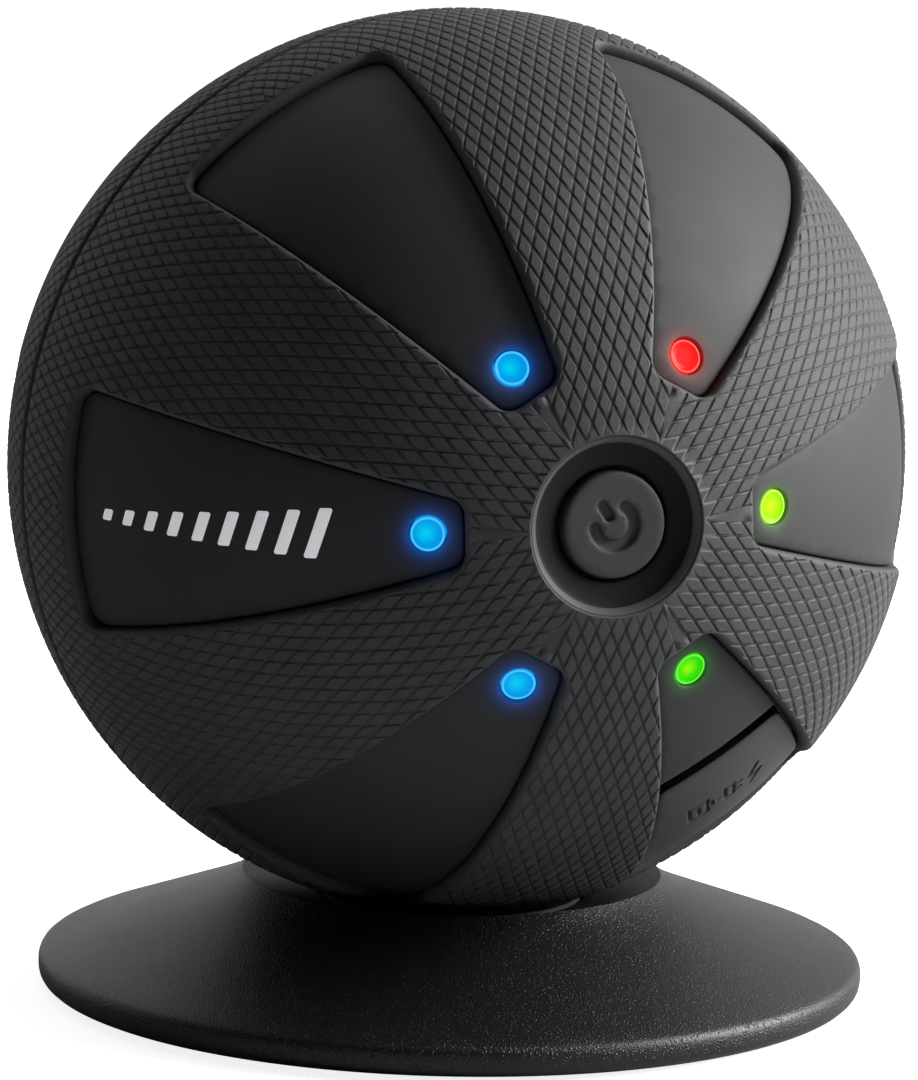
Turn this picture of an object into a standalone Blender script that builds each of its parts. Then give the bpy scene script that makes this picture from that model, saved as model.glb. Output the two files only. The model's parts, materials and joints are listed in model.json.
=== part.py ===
# Vibrating massage ball resting on a low round stand.
#
# Row frame: origin on the floor at the centre of the stand's foot, +Z up.
# The ball rests in the stand's cup with its button pole facing -Y.
# Every ball part is drawn in a "pole frame" whose origin is the ball's centre,
# whose +Z is the button pole and whose +X is the third panel's direction;
# the empty ball_frame carries that frame into the row frame.
# "Front" is the button half of the ball (pole frame +Z), "rear" the other half.
#
# Lengths are millimetres, turned into metres where a mesh is made. Angles are degrees.
# Names ending in _R are radii, in _Z heights in the pole frame.

import math
import bpy
import bmesh
from mathutils import Matrix, Vector

MILLIMETRE = 0.001
GAP = 0.3                   # clearance between neighbouring pieces

# ball
BALL_R = 41.25              # outside of the grip
BALL_HEIGHT = 48.5          # ball centre above the floor
BALL_TURN = 2.62            # turn about the pole, counter-clockwise seen from the front
SKIN_THICK = 1.6
SKIN_IN_R = BALL_R - SKIN_THICK
SHELL_R = SKIN_IN_R - GAP   # hard shell outside
SHELL_THICK = 2.2
SHELL_IN_R = SHELL_R - SHELL_THICK
PANEL_R = BALL_R - 1.1      # smooth panels, sunk below the grip
SEGMENTS = 36               # around the pole
ARC_STEP = 11.0             # polar angle per ring

# panels, each standing in a window through the skin
PANEL_ANGLES = (120.0, 60.0, 0.0, 300.0, 240.0, 180.0)
PORT_PANEL = 3              # index of the panel that holds the charge port
PORT_ANGLE = PANEL_ANGLES[PORT_PANEL]

# screws: shank radii and the holes that clear them
BIG_SHANK_R = 1.4
SMALL_SHANK_R = 0.8
BIG_HOLE_R = BIG_SHANK_R + GAP
SMALL_HOLE_R = SMALL_SHANK_R + GAP

# posts that join the two shells, with the chassis ears between their ends
POST_RHO = 30.0             # distance from the pole axis
POST_ANGLES = (30.0, 150.0, 210.0, 330.0)
POST_R = 4.2
EAR_THICK = 1.6
POST_END = EAR_THICK / 2 + GAP

# control board
BOARD_Z = 22.4
BOARD_THICK = 1.6
BOARD_R = 24.5
BOARD_POST_RHO = 20.0
BOARD_POST_ANGLES = (60.0, 180.0, 300.0)
ON_BOARD_Z = BOARD_Z + BOARD_THICK + GAP    # foot of the pieces in front of the board

# button opening
HOLE_R = 8.0                # hole in the skin and counterbore in the shell
BUTTON_HOLE_R = 6.0
COUNTERBORE_Z = 37.3        # floor of the counterbore

# indicator lights
LENS_POLAR = 23.05
LENS_HOLE_R = 1.9

# charge port and its flap
PORT_POLAR = 52.0
FLAP_IN = 40.9              # polar angle of the flap's end nearest the pole
FLAP_OUT = 70.9
SLOT_IN = 39.2              # polar angle of the finger slot's edge nearest the pole
FLAP_THICK = 1.2
HINGE_POLAR = 73.2
HINGE_R = 38.2
KNUCKLE_R = 1.0
KNUCKLE_HALF = 4.0
PIN_R = 0.35
PIN_BORE_R = PIN_R + GAP

# materials
BLACK_RUBBER = dict(color=(0.03, 0.03, 0.032), roughness=0.6)
BLACK_PLASTIC = dict(color=(0.025, 0.025, 0.027), roughness=0.45)
STAND_PLASTIC = dict(color=(0.02, 0.02, 0.021), roughness=0.42)
DARK_PLASTIC = dict(color=(0.05, 0.05, 0.05), roughness=0.5)
CHASSIS_PLASTIC = dict(color=(0.06, 0.06, 0.065), roughness=0.5)
SWITCH_PLASTIC = dict(color=(0.04, 0.04, 0.045), roughness=0.4)
PLUNGER_PLASTIC = dict(color=(0.6, 0.6, 0.58), roughness=0.5)
BOARD_GREEN = dict(color=(0.02, 0.10, 0.05), roughness=0.45)
LED_WHITE = dict(color=(0.8, 0.8, 0.75), roughness=0.4)
CELL_BLUE = dict(color=(0.05, 0.12, 0.35), roughness=0.35)
RED_WIRE = dict(color=(0.7, 0.02, 0.02), roughness=0.5)
BLACK_WIRE = dict(color=(0.02, 0.02, 0.02), roughness=0.5)
STEEL = dict(color=(0.55, 0.56, 0.58), roughness=0.35, metallic=1.0)
BRASS = dict(color=(0.72, 0.55, 0.25), roughness=0.35, metallic=1.0)
ROTOR_METAL = dict(color=(0.35, 0.2, 0.1), roughness=0.4, metallic=0.8)


# ------------------------------------------------------------------ placements

def shift(x=0.0, y=0.0, z=0.0):
    return Matrix.Translation((x * MILLIMETRE, y * MILLIMETRE, z * MILLIMETRE))


def spin(angle):
    return Matrix.Rotation(math.radians(angle), 4, 'Z')


HEAD_DOWN = Matrix.Rotation(math.pi, 4, 'X')
ALONG_X = Matrix.Rotation(math.pi / 2, 4, 'Y')      # lays a turned shape along +X


def axes_matrix(x_axis, y_axis, z_axis, origin):
    rows = [(x_axis[i], y_axis[i], z_axis[i], origin[i] * MILLIMETRE) for i in range(3)]
    return Matrix((*rows, (0.0, 0.0, 0.0, 1.0)))


def ring(rho, angles):
    """(number, x, y) for points at distance rho from the Z axis."""
    return [(number, rho * math.cos(math.radians(angle)), rho * math.sin(math.radians(angle)))
            for number, angle in enumerate(angles, 1)]


def direction(out, across, angle):
    """Unit vector of a polar-map point of the panel at the given angle.

    The map is flat and in degrees: out runs away from the pole, across at right angles to it.
    """
    polar = math.radians(math.hypot(out, across))
    around = math.radians(angle) + math.atan2(across, out)
    return Vector((math.sin(polar) * math.cos(around),
                   math.sin(polar) * math.sin(around),
                   math.cos(polar)))


def radial_placement(polar, angle, radius):
    """Frame at a point in the ball: Z outward, X away from the pole, Y across."""
    z_axis = direction(polar, 0.0, angle)
    x_axis = (direction(polar + 0.5, 0.0, angle) - direction(polar - 0.5, 0.0, angle)).normalized()
    x_axis = (x_axis - z_axis * x_axis.dot(z_axis)).normalized()
    return axes_matrix(x_axis, z_axis.cross(x_axis), z_axis, [part * radius for part in z_axis])


def port_placement(radius):
    return radial_placement(PORT_POLAR, PORT_ANGLE, radius)


HINGE_FRAME = radial_placement(HINGE_POLAR, PORT_ANGLE, HINGE_R)


# ---------------------------------------------------------------- scene set-up

for old in list(bpy.data.objects):
    bpy.data.objects.remove(old, do_unlink=True)

parts = bpy.data.collections.new("massage_ball")
cutters = bpy.data.collections.new("massage_ball_cutters")
for collection in (parts, cutters):
    bpy.context.scene.collection.children.link(collection)

ball_frame = bpy.data.objects.new("ball_frame", None)
parts.objects.link(ball_frame)
ball_turn = math.radians(BALL_TURN)
ball_frame.matrix_world = axes_matrix(
    Vector((math.cos(ball_turn), 0.0, math.sin(ball_turn))),
    Vector((-math.sin(ball_turn), 0.0, math.cos(ball_turn))),
    Vector((0.0, -1.0, 0.0)),
    (0.0, 0.0, BALL_HEIGHT))


# ------------------------------------------------------------- making the solids

def material(name, color, roughness, metallic=0.0):
    made = bpy.data.materials.new(name)
    made.use_nodes = True
    shader = made.node_tree.nodes["Principled BSDF"]
    shader.inputs["Base Color"].default_value = (*color, 1.0)
    shader.inputs["Roughness"].default_value = roughness
    shader.inputs["Metallic"].default_value = metallic
    return made


def add(name, mesh, look=None, placement=None, in_ball=True):
    """Link a mesh as a part or, when it has no look, as a hidden helper for booleans."""
    piece = bpy.data.objects.new(name, mesh)
    if look is None:
        cutters.objects.link(piece)
        piece.hide_render = True
        piece.display_type = 'WIRE'
    else:
        parts.objects.link(piece)
        mesh.materials.append(material(name, **look))
    if in_ball:
        piece.parent = ball_frame
    if placement is not None:
        piece.matrix_local = placement
    return piece


def mesh_from(name, build):
    mesh = bpy.data.meshes.new(name)
    shape = bmesh.new()
    build(shape)
    shape.to_mesh(mesh)
    shape.free()
    return mesh


def turned(name, profile, steps, look=None, placement=None, in_ball=True):
    """Turn a closed profile of (radius, height) points, outer side top to bottom, about Z."""
    def build(shape):
        verts = [shape.verts.new((radius * MILLIMETRE, 0.0, height * MILLIMETRE))
                 for radius, height in profile]
        for i in range(len(verts)):
            following = (i + 1) % len(verts)
            on_axis = profile[i][0] < 1e-6 and profile[following][0] < 1e-6
            if not on_axis:
                shape.edges.new((verts[i], verts[following]))
    piece = add(name, mesh_from(name, build), look, placement, in_ball)
    screw_mod = piece.modifiers.new("Turn", 'SCREW')
    screw_mod.axis = 'Z'
    screw_mod.angle = math.radians(360.0)
    screw_mod.steps = steps
    screw_mod.render_steps = steps
    screw_mod.use_merge_vertices = True
    screw_mod.merge_threshold = 0.000005
    screw_mod.use_smooth_shade = True
    return piece


def box(name, size, placement, look=None):
    def build(shape):
        bmesh.ops.create_cube(shape, size=1.0)
        bmesh.ops.scale(shape, vec=[side * MILLIMETRE for side in size], verts=shape.verts)
    return add(name, mesh_from(name, build), look, placement)


def rod(name, radius, length, segments, placement, look=None, axis='Z', in_ball=True):
    """Cylinder centred on its placement, lying along the given axis."""
    def build(shape):
        bmesh.ops.create_cone(shape, cap_ends=True, cap_tris=False, segments=segments,
                              radius1=radius * MILLIMETRE, radius2=radius * MILLIMETRE,
                              depth=length * MILLIMETRE)
        if axis != 'Z':
            tilt = Matrix.Rotation(math.pi / 2, 3, 'Y' if axis == 'X' else 'X')
            bmesh.ops.rotate(shape, verts=shape.verts, cent=(0, 0, 0), matrix=tilt)
    return add(name, mesh_from(name, build), look, placement, in_ball)


def boolean(piece, operation, *tools):
    for tool in tools:
        modifier = piece.modifiers.new(operation.title(), 'BOOLEAN')
        modifier.operation = operation
        modifier.object = tool
        modifier.solver = 'EXACT'


def cut(piece, *tools):
    boolean(piece, 'DIFFERENCE', *tools)


def join(piece, *tools):
    boolean(piece, 'UNION', *tools)


def keep_within(piece, tool):
    boolean(piece, 'INTERSECT', tool)


def bevel(piece, width, segments, angle=80.0):
    modifier = piece.modifiers.new("Bevel", 'BEVEL')
    modifier.width = width * MILLIMETRE
    modifier.segments = segments
    modifier.limit_method = 'ANGLE'
    modifier.angle_limit = math.radians(angle)


def screw(name, head_r, head_thick, shank_r, length, steps, placement, look=STEEL, in_ball=True):
    """Pan-head screw, its head's top at z 0 with a drive recess, shank pointing down."""
    profile = [(0, -0.5), (head_r * 0.42, -0.5), (head_r * 0.42, 0), (head_r * 0.8, 0),
               (head_r, -head_thick * 0.4), (head_r, -head_thick), (shank_r, -head_thick),
               (shank_r, -length + 1.0), (0, -length)]
    turned(name, profile, steps, look, placement, in_ball)


# ------------------------------------------------------------ sphere profiles

def arc(radius, start, stop, step=ARC_STEP):
    """(rho, z) points on a circle about the ball's centre, by polar angle."""
    count = max(1, int(round(abs(stop - start) / step)))
    polars = [math.radians(start + (stop - start) * i / count) for i in range(count + 1)]
    return [(radius * math.sin(polar), radius * math.cos(polar)) for polar in polars]


def polar_at_height(radius, height):
    return math.degrees(math.acos(height / radius))


def polar_at_rho(radius, rho):
    return math.degrees(math.asin(rho / radius))


def flipped(profile):
    """Mirror a profile to the rear half, keeping the outer side top to bottom."""
    return [(rho, -height) for rho, height in reversed(profile)]


# ------------------------------------------------------ window and panel outlines

WINDOW_IN = 18.6            # polar angles of the window's ends
WINDOW_OUT = 76.0
WINDOW_SLOPE = 0.305        # growth of the half width per degree out from the pole
WINDOW_OFFSET = -1.55
WINDOW_FILLET_IN = 1.6
WINDOW_FILLET_OUT = 3.2
FILLET_SEGMENTS = 3
SIDE_STEPS = 3              # pieces each straight side is drawn in
BOW_FRACTIONS = (-0.34, 0.34)   # extra points on the bowed outer end, as parts of its spread
PANEL_INSET = 0.42          # between a panel and its window wall, about 0.3 mm
PANEL_IN = WINDOW_IN + PANEL_INSET
PANEL_OUT = WINDOW_OUT - PANEL_INSET
PANEL_FILLET_IN = WINDOW_FILLET_IN - 0.3
PANEL_FILLET_OUT = WINDOW_FILLET_OUT - 0.4


def fillet(corners):
    """Round the corners of a closed polygon given as (x, y, radius)."""
    points = []
    for i, (x, y, radius) in enumerate(corners):
        if radius <= 0:
            points.append((x, y))
            continue
        before = corners[i - 1]
        after = corners[(i + 1) % len(corners)]
        corner = Vector((x, y))
        to_before = Vector((before[0] - x, before[1] - y)).normalized()
        to_after = Vector((after[0] - x, after[1] - y)).normalized()
        half = to_before.angle(to_after) / 2
        reach = radius / math.tan(half)
        centre = corner + (to_before + to_after).normalized() * (radius / math.sin(half))
        start = corner + to_before * reach - centre
        stop = corner + to_after * reach - centre
        total = start.angle_signed(stop)
        for k in range(FILLET_SEGMENTS + 1):
            angle = -total * k / FILLET_SEGMENTS
            cosine, sine = math.cos(angle), math.sin(angle)
            points.append((centre.x + start.x * cosine - start.y * sine,
                           centre.y + start.x * sine + start.y * cosine))
    return points


def outline(near, far, inset, near_fillet, far_fillet, straight_out=False):
    """Rounded trapezoid on the polar map, counter-clockwise.

    The far end follows the circle of that polar angle unless straight_out is set.
    """
    def half_width(out):
        return WINDOW_SLOPE * out + WINDOW_OFFSET - inset

    corner = far
    bow = []
    if not straight_out:
        # walk along the side line until its polar angle is that of the far end
        for _ in range(30):
            corner = math.sqrt(far * far - half_width(corner) ** 2)
        spread = math.atan2(half_width(corner), corner)
        bow = [(far * math.cos(spread * part), far * math.sin(spread * part), 0)
               for part in BOW_FRACTIONS]
    side = [near + (corner - near) * (k / SIDE_STEPS) for k in range(1, SIDE_STEPS)]
    return fillet(
        [(near, half_width(near), near_fillet), (near, -half_width(near), near_fillet)]
        + [(out, -half_width(out), 0) for out in side]
        + [(corner, -half_width(corner), far_fillet)]
        + bow
        + [(corner, half_width(corner), far_fillet)]
        + [(out, half_width(out), 0) for out in reversed(side)])


WINDOW = outline(WINDOW_IN, WINDOW_OUT, 0.0, WINDOW_FILLET_IN, WINDOW_FILLET_OUT)
PANEL = outline(PANEL_IN, PANEL_OUT, PANEL_INSET, PANEL_FILLET_IN, PANEL_FILLET_OUT)
# the part of the port panel between the pole and the finger slot
PORT_PANEL_INNER = outline(PANEL_IN, SLOT_IN, PANEL_INSET, PANEL_FILLET_IN, 0.5, True)
FLAP = outline(FLAP_IN, FLAP_OUT, 0.75, 1.2, 1.2, True)
FLAP_BED = outline(SLOT_IN, FLAP_OUT + 0.5, 0.3, 0.5, 0.5, True)

PRISM_IN_R = 30.0           # radial prisms run from here, inside the shell ...
PRISM_OUT_R = 60.0          # ... to here, outside the ball


def add_prism(shape, points, angle, inner_r, mirror):
    """Radial prism: an outline on a small sphere, extruded outward from the ball's centre."""
    verts = []
    for out, across in points:
        ray = direction(out, across, angle)
        if mirror:
            ray.z = -ray.z
        verts.append(shape.verts.new(ray * (inner_r * MILLIMETRE)))
    face = shape.faces.new(verts)
    face.normal_update()
    if face.normal.dot(sum((vert.co for vert in verts), Vector())) > 0:
        face.normal_flip()
    extruded = bmesh.ops.extrude_face_region(shape, geom=[face], use_keep_orig=True)
    moved = [item for item in extruded['geom'] if isinstance(item, bmesh.types.BMVert)]
    bmesh.ops.scale(shape, vec=(PRISM_OUT_R / inner_r,) * 3, verts=moved)


def prisms(name, outlines, inner_r=PRISM_IN_R, mirror=False):
    """One helper holding a radial prism for each (outline, angle)."""
    def build(shape):
        for points, angle in outlines:
            add_prism(shape, points, angle, inner_r, mirror)
        bmesh.ops.recalc_face_normals(shape, faces=shape.faces)
    return add(name, mesh_from(name, build))


# ------------------------------------------------------------------ grip skins

SEAM_HALF = 0.45            # half the seam between the two skins


def skin_profile(hole_r):
    """Half of the silicone sleeve, from the pole or its hole down to the seam and back."""
    return (arc(BALL_R, polar_at_rho(BALL_R, hole_r), polar_at_height(BALL_R, SEAM_HALF))
            + arc(SKIN_IN_R, polar_at_height(SKIN_IN_R, SEAM_HALF),
                  polar_at_rho(SKIN_IN_R, hole_r)))


def make_skin(end, profile, mirror):
    skin = turned(end + "_grip_skin", profile, SEGMENTS, BLACK_RUBBER)
    windows = [(WINDOW, angle) for angle in PANEL_ANGLES]
    cut(skin, prisms("cut_%s_windows" % end, windows, mirror=mirror))


# ----------------------------------------------------------------- hard shells

SHELL_EDGE = 0.6            # shells stop this far from the equator, the gasket between them
GASKET_HALF = SHELL_EDGE - GAP
GASKET_IN_R = 37.4
EDGE_OUT = polar_at_height(SHELL_R, SHELL_EDGE)
EDGE_IN = polar_at_height(SHELL_IN_R, SHELL_EDGE)
COLLAR_R = 11.0             # thick collar around the button hole
COLLAR_Z = 34.5
CORE_R = 38.3               # the posts are trimmed to this ball
LAYER_POLARS = (14.0, 82.0)     # ends of the layer the panels are taken from
LAYER_IN_R = 38.4
FRONT_POST_LENGTH = 28.0    # before trimming
REAR_POST_LENGTH = 30.0
REAR_POST_TURN = 4.0        # keeps the rear posts' facets off the post angles
PILOT_LENGTH = 15.0
BOARD_POST_R = 2.4
BOARD_POST_TOP_Z = 32.2
BOARD_PILOT_Z = 26.5        # middle of the pilot
HEAD_BORE_R = 2.95
SHELL_SCREW_Z = -21.3       # top of the screw head

# (radius, height): rear post bore, narrow for the shank, wide for the head
REAR_BORE = [(0, 2.0), (BIG_HOLE_R, 2.0), (BIG_HOLE_R, -19.0), (HEAD_BORE_R, -19.0),
             (HEAD_BORE_R, -34.0), (0, -34.0)]


def add_panels(shell, end, outlines, mirror):
    """Raise the smooth panels on a shell."""
    near, far = LAYER_POLARS
    profile = arc(PANEL_R, near, far) + arc(LAYER_IN_R, far, near)
    if mirror:
        profile = flipped(profile)
    layer = turned(end + "_panel_layer", profile, SEGMENTS)
    keep_within(layer, prisms("keep_%s_panels" % end, outlines, mirror=mirror))
    join(shell, layer)


def add_post(shell, core, name, length, segments, placement):
    post = rod(name, POST_R, length, segments, placement)
    keep_within(post, core)
    join(shell, post)


def add_front_posts(shell, core):
    for number, x, y in ring(POST_RHO, POST_ANGLES):
        add_post(shell, core, "front_post_%d" % number, FRONT_POST_LENGTH, 18,
                 shift(x, y, POST_END + FRONT_POST_LENGTH / 2))
    for number, x, y in ring(BOARD_POST_RHO, BOARD_POST_ANGLES):
        join(shell, rod("board_post_%d" % number, BOARD_POST_R, BOARD_POST_TOP_Z - ON_BOARD_Z, 14,
                        shift(x, y, (BOARD_POST_TOP_Z + ON_BOARD_Z) / 2)))


def cut_front_holes(shell):
    """Screw pilots and the holes for the lenses."""
    for number, x, y in ring(POST_RHO, POST_ANGLES):
        cut(shell, rod("front_pilot_%d" % number, BIG_HOLE_R, PILOT_LENGTH, 12,
                       shift(x, y, PILOT_LENGTH / 2)))
    for number, x, y in ring(BOARD_POST_RHO, BOARD_POST_ANGLES):
        cut(shell, rod("board_pilot_%d" % number, SMALL_HOLE_R, 7.0, 10,
                       shift(x, y, BOARD_PILOT_Z)))
    for number, angle in enumerate(PANEL_ANGLES, 1):
        cut(shell, rod("lens_hole_%d" % number, LENS_HOLE_R, 8.0, 16,
                       radial_placement(LENS_POLAR, angle, 38.5)))


def cut_flap_seat(shell):
    """Bed of the flap with its finger slot, pocket of the hinge and hole of the port."""
    pocket_length = 2 * (KNUCKLE_HALF + GAP)
    port_hole = box("cut_port_hole", (3.8, 9.2, 6.0), port_placement(38.0))
    bevel(port_hole, 1.6, 3)
    cut(shell,
        prisms("cut_flap_bed", [(FLAP_BED, PORT_ANGLE)], inner_r=PANEL_R - FLAP_THICK - GAP),
        # lifted a hair off the hinge axis so that no faces coincide
        box("cut_hinge_notch", (3.4, pocket_length, 6.0), HINGE_FRAME @ shift(z=3.0 - 0.001)),
        rod("cut_hinge_pocket", KNUCKLE_R + GAP, pocket_length, 20, HINGE_FRAME, axis='Y'),
        rod("cut_pin_bore", PIN_BORE_R, 12.4, 12, HINGE_FRAME, axis='Y'),
        port_hole)


def make_front_shell(core):
    profile = ([(BUTTON_HOLE_R, COUNTERBORE_Z), (HOLE_R, COUNTERBORE_Z)]
               + arc(SHELL_R, polar_at_rho(SHELL_R, HOLE_R), EDGE_OUT)
               + arc(SHELL_IN_R, EDGE_IN, polar_at_rho(SHELL_IN_R, COLLAR_R))
               + [(COLLAR_R, COLLAR_Z), (BUTTON_HOLE_R, COLLAR_Z)])
    shell = turned("front_shell", profile, SEGMENTS, BLACK_PLASTIC)
    plain = [(PANEL, angle) for i, angle in enumerate(PANEL_ANGLES) if i != PORT_PANEL]
    add_panels(shell, "front", plain + [(PORT_PANEL_INNER, PORT_ANGLE)], mirror=False)
    add_front_posts(shell, core)
    # a thicker patch behind the flap hinge
    join(shell, box("hinge_patch", (5.4, 13.6, 2.8), HINGE_FRAME @ shift(z=-1.8)))
    cut_front_holes(shell)
    cut_flap_seat(shell)


def make_rear_shell(core):
    profile = flipped(arc(SHELL_R, 0.0, EDGE_OUT) + arc(SHELL_IN_R, EDGE_IN, 0.0))
    shell = turned("rear_shell", profile, SEGMENTS, BLACK_PLASTIC)
    add_panels(shell, "rear", [(PANEL, angle) for angle in PANEL_ANGLES], mirror=True)
    spots = ring(POST_RHO, POST_ANGLES)
    for (number, x, y), angle in zip(spots, POST_ANGLES):
        add_post(shell, core, "rear_post_%d" % number, REAR_POST_LENGTH, 20,
                 shift(x, y, -POST_END - REAR_POST_LENGTH / 2) @ spin(angle + REAR_POST_TURN))
    for number, x, y in spots:
        cut(shell, turned("rear_bore_%d" % number, REAR_BORE, 14, placement=shift(x, y)))


def make_gasket():
    turned("seam_gasket", [(GASKET_IN_R, GASKET_HALF), (SHELL_R, GASKET_HALF),
                           (SHELL_R, -GASKET_HALF), (GASKET_IN_R, -GASKET_HALF)],
           SEGMENTS, BLACK_RUBBER)


def make_shell_screws():
    for number, x, y in ring(POST_RHO, POST_ANGLES):
        screw("shell_screw_%d" % number, head_r=2.6, head_thick=2.0, shank_r=BIG_SHANK_R,
              length=32.0, steps=10, placement=shift(x, y, SHELL_SCREW_Z) @ HEAD_DOWN)


# ------------------------------------------------------------ button and board

CAP_R = 4.6
CAP_TOP_Z = 39.8
CAP_EDGE = 0.35             # chamfer around the cap's top
CAP_FLANGE_R = 5.5
CAP_FLANGE_Z = (36.8, 36.2)     # top and foot of the flange
CAP_STEM_R = 1.6
BEZEL_R = HOLE_R - GAP
BEZEL_IN_R = CAP_R + GAP
BEZEL_FOOT_Z = COUNTERBORE_Z + GAP
PLUNGER_R = 1.7
PLUNGER_TOP_Z = 29.3
PLUNGER_FOOT_Z = 27.1
SWITCH_WIDTH = 6.2
SWITCH_TOP_Z = 27.9
SWITCH_BORE_Z = 26.3        # floor of the bore the plunger slides in
BOARD_SCREW_HEAD = 1.3


def make_button():
    turned("button_bezel", [
        (BEZEL_IN_R, 38.75), (5.7, 38.85), (6.5, 39.2), (7.1, 39.95), (7.45, 40.2),
        (BEZEL_R, 40.0), (BEZEL_R, BEZEL_FOOT_Z), (BEZEL_IN_R, BEZEL_FOOT_Z)],
        30, BLACK_PLASTIC)
    flange_top, flange_foot = CAP_FLANGE_Z
    stem_foot = PLUNGER_TOP_Z + GAP
    turned("button_cap", [
        (0, CAP_TOP_Z), (CAP_R - CAP_EDGE, CAP_TOP_Z), (CAP_R, CAP_TOP_Z - CAP_EDGE),
        (CAP_R, flange_top), (CAP_FLANGE_R, flange_top), (CAP_FLANGE_R, flange_foot),
        (CAP_STEM_R, flange_foot), (CAP_STEM_R, stem_foot), (0, stem_foot)],
        24, BLACK_RUBBER)


def make_switch():
    body = box("switch_body", (SWITCH_WIDTH, SWITCH_WIDTH, SWITCH_TOP_Z - ON_BOARD_Z),
               shift(z=(ON_BOARD_Z + SWITCH_TOP_Z) / 2), SWITCH_PLASTIC)
    cut(body, rod("cut_switch_bore", PLUNGER_R + GAP, 4.0, 16, shift(z=SWITCH_BORE_Z + 2.0)))
    plunger = rod("switch_plunger", PLUNGER_R, PLUNGER_TOP_Z - PLUNGER_FOOT_Z, 16,
                  shift(z=(PLUNGER_TOP_Z + PLUNGER_FOOT_Z) / 2), PLUNGER_PLASTIC)
    bevel(plunger, 0.2, 1, angle=40.0)


def make_board():
    board = rod("control_board", BOARD_R, BOARD_THICK, 36, shift(z=BOARD_Z + BOARD_THICK / 2),
                BOARD_GREEN)
    for number, x, y in ring(BOARD_POST_RHO, BOARD_POST_ANGLES):
        cut(board, rod("board_hole_%d" % number, SMALL_HOLE_R, 4.0, 10, shift(x, y, BOARD_Z)))
        screw("board_screw_%d" % number, head_r=1.7, head_thick=BOARD_SCREW_HEAD,
              shank_r=SMALL_SHANK_R, length=8.6, steps=8,
              placement=shift(x, y, BOARD_Z - GAP - BOARD_SCREW_HEAD) @ HEAD_DOWN)


# -------------------------------------------------------------- indicator lights

LENS_R = 1.55
LENS_FLANGE_R = 2.3
LED_RHO = 11.4              # chip's distance from the pole axis
LED_SIZE = (3.0, 2.8, 1.5)

# (radius, distance from the ball's centre)
LENS_PROFILE = [(0, 39.85), (LENS_R, 39.85), (LENS_R, 36.8), (LENS_FLANGE_R, 36.8),
                (LENS_FLANGE_R, 36.2), (LENS_R, 36.2), (LENS_R, 29.6), (0, 29.6)]

BLUE = (0.02, 0.35, 0.85)
LENS_COLORS = (BLUE, (0.9, 0.03, 0.03), (0.5, 0.9, 0.05), (0.2, 0.85, 0.03), BLUE, BLUE)


def make_lights():
    height = LED_SIZE[2]
    for number, (angle, color) in enumerate(zip(PANEL_ANGLES, LENS_COLORS), 1):
        turned("led_lens_%d" % number, LENS_PROFILE, 12, dict(color=color, roughness=0.15),
               radial_placement(LENS_POLAR, angle, 0.0))
        chip = box("led_%d" % number, LED_SIZE,
                   spin(angle) @ shift(LED_RHO, 0, ON_BOARD_Z + height / 2), LED_WHITE)
        cut(chip, rod("led_cup_%d" % number, 1.05, 1.2, 12,
                      spin(angle) @ shift(LED_RHO, 0, ON_BOARD_Z + height)))


# ------------------------------------------------------------- charge port, flap

FLAP_LAYER_POLARS = (34.0, 80.0)    # ends of the layer the flap is taken from
TAB_TILT = 4.0
TAB_LENGTH = 2.9


def make_flap():
    """The flap's origin is on its hinge axis, at the outer end of its panel."""
    near, far = FLAP_LAYER_POLARS
    layer = turned("flap_layer", arc(PANEL_R, near, far) + arc(PANEL_R - FLAP_THICK, far, near),
                   36)
    keep_within(layer, prisms("keep_flap", [(FLAP, PORT_ANGLE)]))
    # the tab reaches from the knuckle to the flap
    tilt = Matrix.Rotation(math.radians(TAB_TILT), 4, 'Y')
    tab = box("flap_tab", (TAB_LENGTH, 2 * KNUCKLE_HALF - 0.1, 0.7),
              HINGE_FRAME @ tilt @ shift(-TAB_LENGTH / 2, 0, 0.9))
    plug = box("flap_plug", (1.8, 7.0, 2.0), port_placement(38.4))
    bevel(plug, 0.35, 2)
    flap = rod("port_flap", KNUCKLE_R, 2 * KNUCKLE_HALF, 16, HINGE_FRAME, BLACK_RUBBER, axis='Y')
    join(flap, tab, layer, plug)
    cut(flap, rod("cut_flap_bore", PIN_BORE_R, 12.0, 12, HINGE_FRAME, axis='Y'))
    rod("flap_hinge_pin", PIN_R, 11.4, 10, HINGE_FRAME, STEEL, axis='Y')


def make_charge_port():
    sleeve = box("charge_port_sleeve", (3.0, 8.4, 6.4), port_placement(34.5), STEEL)
    bevel(sleeve, 1.2, 3)
    mouth = box("cut_port_mouth", (2.4, 7.8, 7.0), port_placement(35.4))
    bevel(mouth, 0.9, 3)
    cut(sleeve, mouth)
    box("charge_port_tongue", (0.7, 6.0, 3.6), port_placement(34.3), DARK_PLASTIC)
    board = box("port_board", (6.0, 14.0, 1.2), port_placement(30.3), BOARD_GREEN)
    bevel(board, 0.8, 1)


# ----------------------------------------------------------------------- motor

# The motor's axis runs along the pole frame's X. Its profiles are (radius, x).
MOTOR_Z = 4.0
MOTOR_R = 12.1
CAN_IN_R = 10.9
SHAFT_R = 1.6
SHAFT_BORE_R = SHAFT_R + GAP
BUSHING_R = 3.1
BUSHING_HOLE_R = BUSHING_R + GAP
BUSHING_ENDS = ((-16.6, -14.8), (10.4, 12.4))
WEIGHT_R = 10.0
WEIGHT_THICK = 6.6
WEIGHT_X = 21.7
HUB_R = 3.8
MOTOR_FRAME = shift(z=MOTOR_Z) @ ALONG_X

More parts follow.
